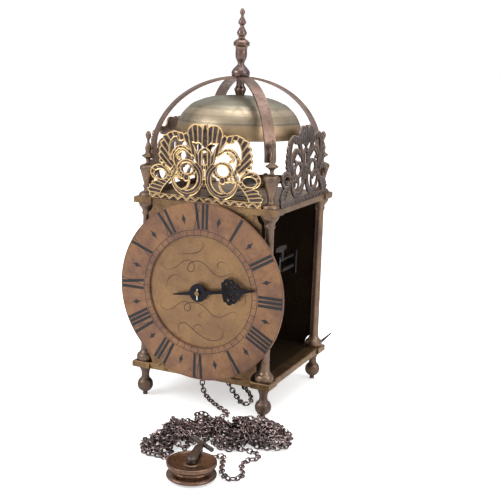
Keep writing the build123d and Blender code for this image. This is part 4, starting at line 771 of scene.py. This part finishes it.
@dataclass
class WindingChain:
    """The endless chain: over both sprockets, with its slack in two heaps on the floor."""

    wire: float = 1.45
    width: float = 5.9
    link: float = 7.4
    pitch: float = 4.6
    rest: float = 2.95
    lift: float = 3.9
    touch: float = 5.0
    ceiling: float = 15.5
    over: float = 13.8
    going: tuple[float, float] = (-41.0, 98.9)
    strike: tuple[float, float] = (12.0, 91.8)
    left: Heap = field(default_factory=lambda: Heap(
        ((16, -188, 14), (21, -162, 17), (27, -134, 19), (36, -112, 15)), 17, 11, 2.2))
    right: Heap = field(default_factory=lambda: Heap(
        ((66, -150, 11), (63, -120, 15), (74, -106, 17), (96, -122, 20), (110, -124, 15)), 18, 5,
        3.4))
    made: list[Vector] = field(default_factory=list)

    def settled(self, flat: Sequence[tuple[float, float]],
                laid: list[tuple[float, float, float]]) -> list[tuple[float, float, float]]:
        """Lets points down one after another on the floor or on what lies there already.

        Args:
            flat: The points from above.
            laid: Points that lie there already; the new ones are added.

        Returns:
            The points with their heights.
        """
        out = []
        for x, y in flat:
            height = self.rest
            for px, py, pz in laid[:-5]:
                gap = math.hypot(px - x, py - y)
                if gap < self.touch:
                    height = max(height, pz + self.lift * (1 - (gap / self.touch) ** 2) ** 0.5)
            height = min(height, self.ceiling - 0.4 * (len(laid) % 3))
            laid.append((x, y, height))
            out.append((x, y, height))
        return out

    def strand(self, y: float, top: float) -> list[tuple[float, float, float]]:
        """One run up to a sprocket, over it and down again."""
        out, near = self.over, 5.7
        return [(-out, y, 20.0), (-out, y, 60.0), (-out, y, top - 8), (-near, y, top),
                (near, y, top), (out, y, top - 8), (out, y, 60.0), (out, y, 20.0)]

    def route(self) -> list[Vector]:
        """The whole chain's control points.

        Returns:
            The points, from the top of the going sprocket round and back to it.
        """
        going, strike = self.strand(*self.going), self.strand(*self.strike)
        summit = (0.0, *self.going)
        laid: list[tuple[float, float, float]] = []
        left = self.settled(self.left.flat(), laid)
        loop = self.settled([(34, -200), (50, -196), (64, -184), (74, -166), (80, -182),
                             (89, -202), (101, -209), (107, -196), (97, -182), (95, -168),
                             (104, -160), (98, -150), (84, -148)], laid)
        right = self.settled(self.right.flat(), laid)
        points = [summit]
        points += going[3::-1]
        points += [(-6, -52, 7), (14, -66, 3.6), (34, -78, 3.2), (40, -92, 6.0)]
        points += left[::-1]
        points += loop + right
        points += [(104, -98, 8.0), (80, -82, 4.0), (62, -72, 3.2), (62, -50, 3.0), (50, -28, 4.4)]
        points += strike[::-1]
        points += [(18, -22, 15), (44, -44, 11.5), (50, -62, 9.0), (40, -60, 8.0), (33, -52, 8.0)]
        points += going[:3:-1]
        points += [summit]
        return [at(*p) for p in points]

    def centreline(self) -> list[Vector]:
        """Points close together on the smooth line through the control points."""
        mesh = Bench.smooth(self.route(), 3, 10)
        out = [v.co.copy() for v in mesh.vertices]
        bpy.data.meshes.remove(mesh)
        return out

    def link_mesh(self) -> bpy.types.Mesh:
        """One oval link of round wire, with its long way along X."""
        bm = bmesh.new()
        radius = (self.width - self.wire) / 2 * MM
        bmesh.ops.create_circle(bm, segments=5, radius=self.wire / 2 * MM, cap_ends=False,
                                matrix=Matrix.Translation((radius, 0, 0))
                                @ Matrix.Rotation(math.pi / 2, 4, "X"))
        bmesh.ops.spin(bm, geom=bm.verts[:] + bm.edges[:], cent=(0, 0, 0), axis=(0, 0, 1),
                       angle=math.tau, steps=10, use_merge=True)
        bmesh.ops.remove_doubles(bm, verts=bm.verts, dist=1e-6)
        bmesh.ops.recalc_face_normals(bm, faces=bm.faces)
        stretch = (self.link - self.width) / 2 * MM
        for vertex in bm.verts:
            if abs(vertex.co.x) > 0.2 * MM:
                vertex.co.x += math.copysign(stretch, vertex.co.x)
        mesh = bpy.data.meshes.new("link")
        bm.to_mesh(mesh)
        bm.free()
        return mesh

    def build(self) -> None:
        line = self.centreline()
        length = sum((b - a).length for a, b in zip(line, line[1:]))
        template = self.link_mesh()
        rng = random.Random(3)
        count = round(length / (self.pitch * MM))
        step = length / count
        bm = bmesh.new()
        travelled, index, twist = 0.0, 0, 0.0
        for a, b in zip(line, line[1:]):
            run = (b - a).length
            while run > 0 and index * step <= travelled + run and index < count:
                place = a.lerp(b, (index * step - travelled) / run)
                along = (b - a).normalized()
                side = along.cross(Vector((0, 0, 1)))
                if side.length < 0.35:
                    side = Vector((1, 0, 0)) if abs(along.x) < 0.6 else Vector((0, 1, 0))
                side = (side - along * side.dot(along)).normalized()
                twist = 0.85 * twist + rng.uniform(-0.22, 0.22)
                turn = Matrix((along, side, along.cross(side))).transposed().to_4x4()
                spin = Matrix.Rotation(twist + (math.pi / 2 if index % 2 else 0.0), 4, "X")
                move = Matrix.Translation(place) @ turn @ spin
                template.transform(move)
                bm.from_mesh(template)
                template.transform(move.inverted())
                index += 1
            travelled += run
        made = Bench.piece(bm, "winding_chain", "frame", (Finishes.CHAIN,), 60.0,
                           ("going_chain", "strike_chain", "chain_floor_loop",
                            "chain_pile_left", "chain_pile_right"))
        self.width * MM
        LOG.info("chain: %d links over %.3f m", index, length)


# --- Frame ---


@dataclass
class TurnedFrame:
    """The four pillars, feet and corner finials."""

    pillar: Profile = (
        (2.6, 0.0), (8.2, 0.0), (8.9, 1.6), (9.0, 3.9), (8.2, 6.2), (6.2, 7.7), (5.6, 9.2),
        (4.9, 10.4), (4.7, 14.0), (4.1, 147.0), (4.9, 148.2), (5.2, 150.4), (4.6, 151.6),
        (5.6, 154.0), (7.6, 156.6), (8.4, 158.4), (8.4, 160.5), (2.6, 160.5))
    foot: Profile = (
        (0.0, 0.0), (2.4, 0.0), (2.4, 3.07), (5.4, 4.8), (7.4, 7.6), (8.0, 10.7), (7.4, 13.8),
        (6.0, 16.0), (4.4, 17.4), (3.9, 19.4), (3.8, 21.4), (4.3, 25.2), (6.6, 29.4),
        (6.6, 30.8), (2.6, 30.8))
    finial: Profile = (
        (0.0, 0.0), (8.4, 0.0), (8.4, 1.6), (7.2, 3.4), (4.2, 4.5), (2.9, 6.6), (3.4, 11.0),
        (7.0, 24.6), (7.9, 25.8), (8.0, 28.6), (6.2, 30.2), (2.2, 31.6), (1.65, 33.8),
        (2.6, 36.4), (6.0, 38.4), (6.1, 39.2), (3.0, 41.0), (2.4, 42.6), (3.1, 46.2),
        (2.2, 49.6), (1.15, 52.4), (1.3, 54.6), (2.6, 57.0), (2.8, 59.4), (2.0, 61.6),
        (0.6, 63.0), (0.0, 63.0))

    def build(self) -> None:
        """Turns each piece in place of its CAD node."""
        kinds = (("foot", self.foot, 0.0, 34, (1, 2, 12, 13), Finishes.FOOT),
                 ("pillar", self.pillar, PLATE_LOW_TOP, 32, (1, 8, 9, 11, 16), Finishes.FRAME),
                 ("finial", self.finial, PLATE_HIGH_TOP, 30, (1, 2, 10, 14, 15), Finishes.FRAME))
        for corner, (x, y) in CORNERS.items():
            for kind, profile, low, rounding, sharp, finish in kinds:
                node = f"{kind}_{corner}"
                Bench.piece(Bench.turn(profile, x, y, low, rounding, sharp), f"{node}_turned",
                            "frame", (finish,), 40, (node,))


@dataclass
class Plates:
    """The two plates, the sheets, the hoop, the spurs and the screws, dressed as they are."""

    thick: Sequence[str] = ("bottom_plate", "top_plate")
    sheets: Sequence[str] = ("front_plate", "back_plate")
    iron: Sequence[str] = ("hanging_hoop", "wall_spurs")

    def build(self) -> None:
        """Dresses the nodes."""
        Bench.dress(self.thick, Finishes.PLATE)
        Bench.dress(self.sheets, Finishes.SHEET)
        Bench.dress(self.iron, Finishes.IRON)
        Bench.dress(("plate_screws",), Finishes.STEEL)


# --- Dial and hand ---


class Stroke(Enum):
    """The strokes that a numeral is cut with: half widths at its foot and at its head."""

    THICK = (1.35, 1.55)
    THIN = (0.26, 0.30)


# Each letter's width in pitches and its strokes: foot and head, from the letter's middle.
LETTERS = {"I": (1.0, ((Stroke.THICK, 0.0, 0.0),)),
           "V": (1.75, ((Stroke.THICK, -0.2, -2.0), (Stroke.THIN, 0.4, 2.8))),
           "X": (1.95, ((Stroke.THICK, 1.9, -1.9), (Stroke.THIN, -2.8, 2.8)))}

@dataclass
class Dial:
    """The chapter ring's marks, filled with wax, and the lines engraved in the centre."""

    ring_y: float = -77.2
    centre_y: float = -75.4
    proud: float = 0.05
    foot: float = 61.6
    head: float = 85.4
    numerals: Sequence[str] = ("XII", "I", "II", "III", "IIII", "V", "VI", "VII", "VIII", "IX",
                               "X", "XI")
    pitch: float = 4.1
    serif: float = 0.17
    circles: Sequence[tuple[float, float]] = ((55.25, 0.56), (60.45, 0.56), (86.2, 0.24))
    flourishes: Sequence[Sequence[tuple[float, float]]] = (
        ((-12, -44), (-19, -46), (-25, -40), (-21, -32), (-13, -33), (-5, -40), (5, -45),
         (15, -47), (25, -43), (27, -35), (20, -29), (10, -32)),
        ((6, -40), (4, -33), (-4, -31), (-8, -37), (-4, -41)),
        ((-16, 6), (-22, 15), (-32, 14), (-38, 6), (-36, -4)),
        ((-4, 52), (3, 49), (2, 41), (-8, 36), (-20, 35), (-30, 34)),
        ((-31, 26), (-38, 30), (-45, 24), (-38, 16), (-27, 20), (-17, 31), (-7, 29), (-6, 20),
         (-13, 17), (-16, 24), (-6, 31), (5, 29), (14, 18), (24, 17), (33, 24), (41, 21), (38, 14),
         (32, 16)),
        ((30, 29), (23, 34), (15, 30), (18, 24), (24, 26)),
        ((-30, -10), (-38, -8), (-46, -14), (-41, -24), (-30, -22), (-21, -11), (-11, -11),
         (-9, -20), (-17, -22), (-18, -14), (-6, -10), (6, -13), (14, -23), (25, -22), (34, -13),
         (42, -16), (38, -24), (32, -20)),
        ((4, -24), (-3, -27), (-2, -20), (5, -19)),
        ((44, 8), (50, 2), (49, -7), (42, -9)))

    def plate(self, bm: bmesh.types.BMesh, outline: Sequence[tuple[float, float]],
              turn: float = 0.0, thick: float = 0.16) -> None:
        """Adds one flat mark to the ring.

        Args:
            bm: The shape that it goes into.
            outline: Its corners, across and away from the dial's centre.
            turn: Degrees clockwise from the top.
            thick: Its thickness; the ring hides all but the proud part.
        """
        angle = math.radians(turn)
        corners = []
        for across, out in outline:
            x = across * math.cos(angle) + out * math.sin(angle)
            z = out * math.cos(angle) - across * math.sin(angle)
            corners.append(bm.verts.new(at(x, self.ring_y - self.proud, DIAL_Z + z)))
        face = bm.faces.new(corners)
        made = bmesh.ops.extrude_face_region(bm, geom=[face])
        moved = [v for v in made["geom"] if isinstance(v, bmesh.types.BMVert)]
        bmesh.ops.translate(bm, verts=moved, vec=(0, thick * MM, 0))

    def stroke(self, bm: bmesh.types.BMesh, kind: Stroke, low: float, high: float,
               turn: float) -> None:
        """One stroke from its place at the foot to its place at the head."""
        a, b = kind.value
        self.plate(bm, ((low - a, self.foot), (low + a, self.foot), (high + b, self.head),
                        (high - b, self.head)), turn)

    def numeral(self, bm: bmesh.types.BMesh, text: str, turn: float) -> None:
        """Cuts one numeral with its serifs, its head away from the centre."""
        total = sum(LETTERS[letter][0] for letter in text) * self.pitch
        place = -total / 2
        for letter in text:
            width, strokes = LETTERS[letter]
            middle = place + width * self.pitch / 2
            for kind, low, high in strokes:
                self.stroke(bm, kind, middle + low, middle + high, turn)
            place += width * self.pitch
        half = total / 2 + 0.2
        for out in (self.foot - 0.1, self.head + 0.1):
            low, high = out - self.serif, out + self.serif
            self.plate(bm, ((-half, low), (half, low), (half, high), (-half, high)), turn)

    def marks(self) -> None:
        """The numerals, the half-hour lozenges and the quarter-hour track."""
        bm = bmesh.new()
        for hour, text in enumerate(self.numerals):
            self.numeral(bm, text, hour * 30.0)
            self.plate(bm, ((0, 66.2), (0.9, 69.4), (2.3, 71.7), (0.9, 74.0), (0, 77.2),
                            (-0.9, 74.0), (-2.3, 71.7), (-0.9, 69.4)), hour * 30.0 + 15)
        for tick in range(48):
            self.plate(bm, ((-0.24, 55.3), (0.24, 55.3), (0.24, 60.4), (-0.24, 60.4)), tick * 7.5)
        for radius, width in self.circles:
            self.circle(bm, radius, width)
        bmesh.ops.recalc_face_normals(bm, faces=bm.faces)
        Bench.piece(bm, "dial_marks", "frame", (Finishes.WAX,), 30)

    def circle(self, bm: bmesh.types.BMesh, radius: float, width: float) -> None:
        """Adds a cut circle round the dial's centre."""
        front = self.ring_y - self.proud
        corners = [bm.verts.new(at(0, front + deep, DIAL_Z + radius + side * width / 2))
                   for deep, side in ((0, -1), (0, 1), (0.16, 1), (0.16, -1))]
        edges = [bm.edges.new((corners[i], corners[(i + 1) % 4])) for i in range(4)]
        bmesh.ops.spin(bm, geom=corners + edges, cent=at(0, front, DIAL_Z), axis=(0, 1, 0),
                       angle=math.tau, steps=160, use_merge=True)

    def engraving(self) -> None:
        """Free scrolls of a graver's line across the centre."""
        bm = bmesh.new()
        for scroll in self.flourishes:
            points = [at(x, self.centre_y + 0.20, DIAL_Z + z) for x, z in scroll]
            last = len(points) - 1
            swell = [0.55 + 0.75 * math.sin(math.pi * i / last) for i in range(len(points))]
            line = Bench.smooth(points, 4, 8, 0.34 * MM, swell)
            bm.from_mesh(line)
            bpy.data.meshes.remove(line)
        Bench.piece(bm, "centre_scrolls", "frame", (Finishes.SCROLL,), 60)

    def build(self) -> None:
        """Dresses the ring and the centre, and cuts their marks."""
        Bench.dress(("chapter_ring",), Finishes.DIAL)
        Bench.dress(("dial_centre",), Finishes.CENTRE)
        self.marks()
        self.engraving()


@dataclass
class HourHand:
    """The pierced iron hand and its taper pin."""

    def build(self) -> None:
        """Dresses the hand and its pin."""
        Bench.dress(("hour_hand",), Finishes.HAND)
        Bench.dress(("hand_pin",), Finishes.PIN)


# --- Frets ---


@dataclass
class Fret:
    """One pierced fret whose faces are sunk inside a raised rim."""

    node: str
    outward: Point
    rim: GiltFret
    ground: GiltFret
    width: float = 1.0
    sunk: float = 0.34

    def outer(self, bm: bmesh.types.BMesh) -> list[bmesh.types.BMFace]:
        """The faces of the outermost plane, which look outward."""
        outward = Vector(self.outward)
        faces = [f for f in bm.faces if f.normal.dot(outward) > 0.99]
        top = max(f.calc_center_median().dot(outward) for f in faces)
        return [f for f in faces if f.calc_center_median().dot(outward) > top - 1e-4]

    def build(self) -> None:
        """Copies the node's outline and sinks the ground of its outer face."""
        bm = bmesh.new()
        bm.from_mesh(frame["nodes"][self.node].data)
        bmesh.ops.remove_doubles(bm, verts=bm.verts, dist=2e-6)
        bmesh.ops.dissolve_limit(bm, angle_limit=math.radians(0.5), verts=bm.verts,
                                 edges=bm.edges)
        bmesh.ops.triangulate(bm, faces=self.outer(bm))
        faces = self.outer(bm)
        bmesh.ops.inset_region(bm, faces=faces, thickness=self.width * MM,
                               depth=-self.sunk * MM, use_even_offset=False,
                               use_boundary=True)
        for face in faces:
            if face.is_valid:
                face.material_index = 1
        Bench.piece(bm, f"{self.node}_chased", "frame", (self.rim, self.ground), 25,
                    (self.node,))


# --- Bell and its cage ---


@dataclass
class BellCage:
    """The bell with its nut and spacer, under the crossed straps and the tall finial."""

    bell: Profile = (
        (62.0, 261.5), (62.4, 267.0), (60.5, 275.0), (57.7, 281.0), (53.6, 286.5), (50.7, 289.0),
        (46.7, 292.8), (40.9, 295.2), (34.2, 298.0), (24.3, 300.2), (8.0, 301.5), (2.55, 301.5),
        (2.55, 298.6), (8.0, 298.6), (24.0, 297.4), (33.4, 295.4), (39.6, 292.7), (45.2, 290.4),
        (49.1, 286.9), (51.8, 284.6), (55.5, 279.5), (58.1, 274.2), (59.9, 267.0), (59.5, 261.5),
        (62.0, 261.5))
    spacer: Profile = (
        (2.55, 301.5), (4.1, 301.5), (4.8, 303.6), (6.3, 307.1), (4.8, 309.6), (4.05, 310.8),
        (4.05, 317.8), (2.55, 317.8))
    finial: Profile = (
        (0, 292.6), (2.5, 292.6), (2.5, 320.0), (8.6, 320.0), (9.04, 321.0), (9.04, 324.4),
        (8.2, 325.8), (6.6, 327.8), (3.4, 331.0), (3.1, 332.6), (4.2, 334.8), (5.4, 337.4),
        (5.8, 341.0), (5.5, 345.6), (6.1, 348.4), (7.9, 349.4), (7.9, 352.6), (6.0, 354.4),
        (3.2, 356.2), (2.8, 357.2), (4.6, 359.8), (4.9, 361.6), (4.2, 363.4), (2.3, 366.6),
        (1.85, 368.5), (3.6, 370.2), (4.0, 371.6), (3.3, 373.2), (1.6, 376.4), (1.26, 378.1),
        (2.2, 379.6), (2.5, 381.2), (2.1, 382.8), (0.9, 384.6), (0, 385.0))

    def build(self) -> None:
        """Turns the bell, the spacer and the finial, and dresses the straps."""
        Bench.piece(Bench.turn(self.bell, 0, 0, 0, 40, (), 128), "bell_turned", "frame",
                    (Finishes.BELL,), 50, ("bell",))
        Bench.piece(Bench.turn(self.spacer, 0, 0, 0, 30, (1, 6)), "bell_spacer_turned", "frame",
                    (Finishes.TOP,), 40, ("bell_spacer",))
        Bench.piece(Bench.turn(self.finial, 0, 0, 0, 30, (1, 2, 3, 4, 5, 15, 16)),
                    "top_finial_turned", "frame", (Finishes.TOP,), 40, ("top_finial",))
        Bench.dress(("bell_straps",), Finishes.STRAP)
        Bench.dress(("bell_nut",), Finishes.STEEL)


# --- Movement ---


@dataclass
class Movement:
    """The trains, bars and levers, dressed as they are."""

    def build(self) -> None:
        """Dresses every node that is left by its own material slot."""
        slots = {"wheel_brass": Finishes.WHEEL, "iron": Finishes.IRON,
                 "steel_dark": Finishes.STEEL, "lead": Finishes.LEAD,
                 "plate_brass": Finishes.PLATE, "frame_brass": Finishes.FRAME,
                 "pulley_brass": Finishes.PULLEY, "pin_steel": Finishes.PIN}
        named = {s["node"]: s.get("material_slot") for s in frame["record"]["subparts"]}
        for name, node in frame["nodes"].items():
            if not node.hide_render and name not in Bench.dressed:
                Bench.dress((name,), slots.get(named.get(name), Finishes.STEEL))


@dataclass
class Pulley:
    """The grooved pulley that lies on the floor in its stirrup."""

    profile: Profile = (
        (2.05, 2.0), (6.0, 2.0), (7.0, 3.6), (16.0, 3.2), (19.5, 2.0), (20.8, 2.8), (21.0, 4.2),
        (19.6, 5.4), (16.0, 7.0), (15.4, 8.4), (16.0, 9.8), (20.2, 11.4), (21.0, 12.6),
        (20.9, 15.0), (19.6, 15.4), (17.5, 14.4), (7.0, 12.6), (6.0, 13.4), (2.05, 13.4),
        (2.05, 2.0))
    x: float = 68.0
    y: float = -215.0

    def build(self) -> None:
        """Turns the pulley and dresses its stirrup."""
        Bench.piece(Bench.turn(self.profile, self.x, self.y, 0, 30, (), 72), "pulley_turned",
                    "pulley", (Finishes.PULLEY,), 40, ("pulley",))
        Bench.dress(("pulley_stirrup",), Finishes.STEEL)


# --- The whole clock ---


def main() -> None:
    """Builds the studio, then every sub-assembly in order."""
    logging.basicConfig(level=logging.INFO, format="%(name)s %(message)s")
    order = (
        Studio(), WindingChain(), TurnedFrame(), Plates(), Dial(), HourHand(),
        Fret("fret_front", (0, -1, 0), Finishes.RIM, Finishes.GROUND),
        Fret("fret_left", (-1, 0, 0), Finishes.SHADED_SIDE_RIM, Finishes.SHADED_SIDE_GROUND),
        Fret("fret_right", (1, 0, 0), Finishes.SHADED_SIDE_RIM, Finishes.SHADED_SIDE_GROUND),
        BellCage(), Pulley(), Movement())
    for part in order:
        LOG.info("building %s", type(part).__name__)
        part.build()


if __name__ == "__main__":
    main()
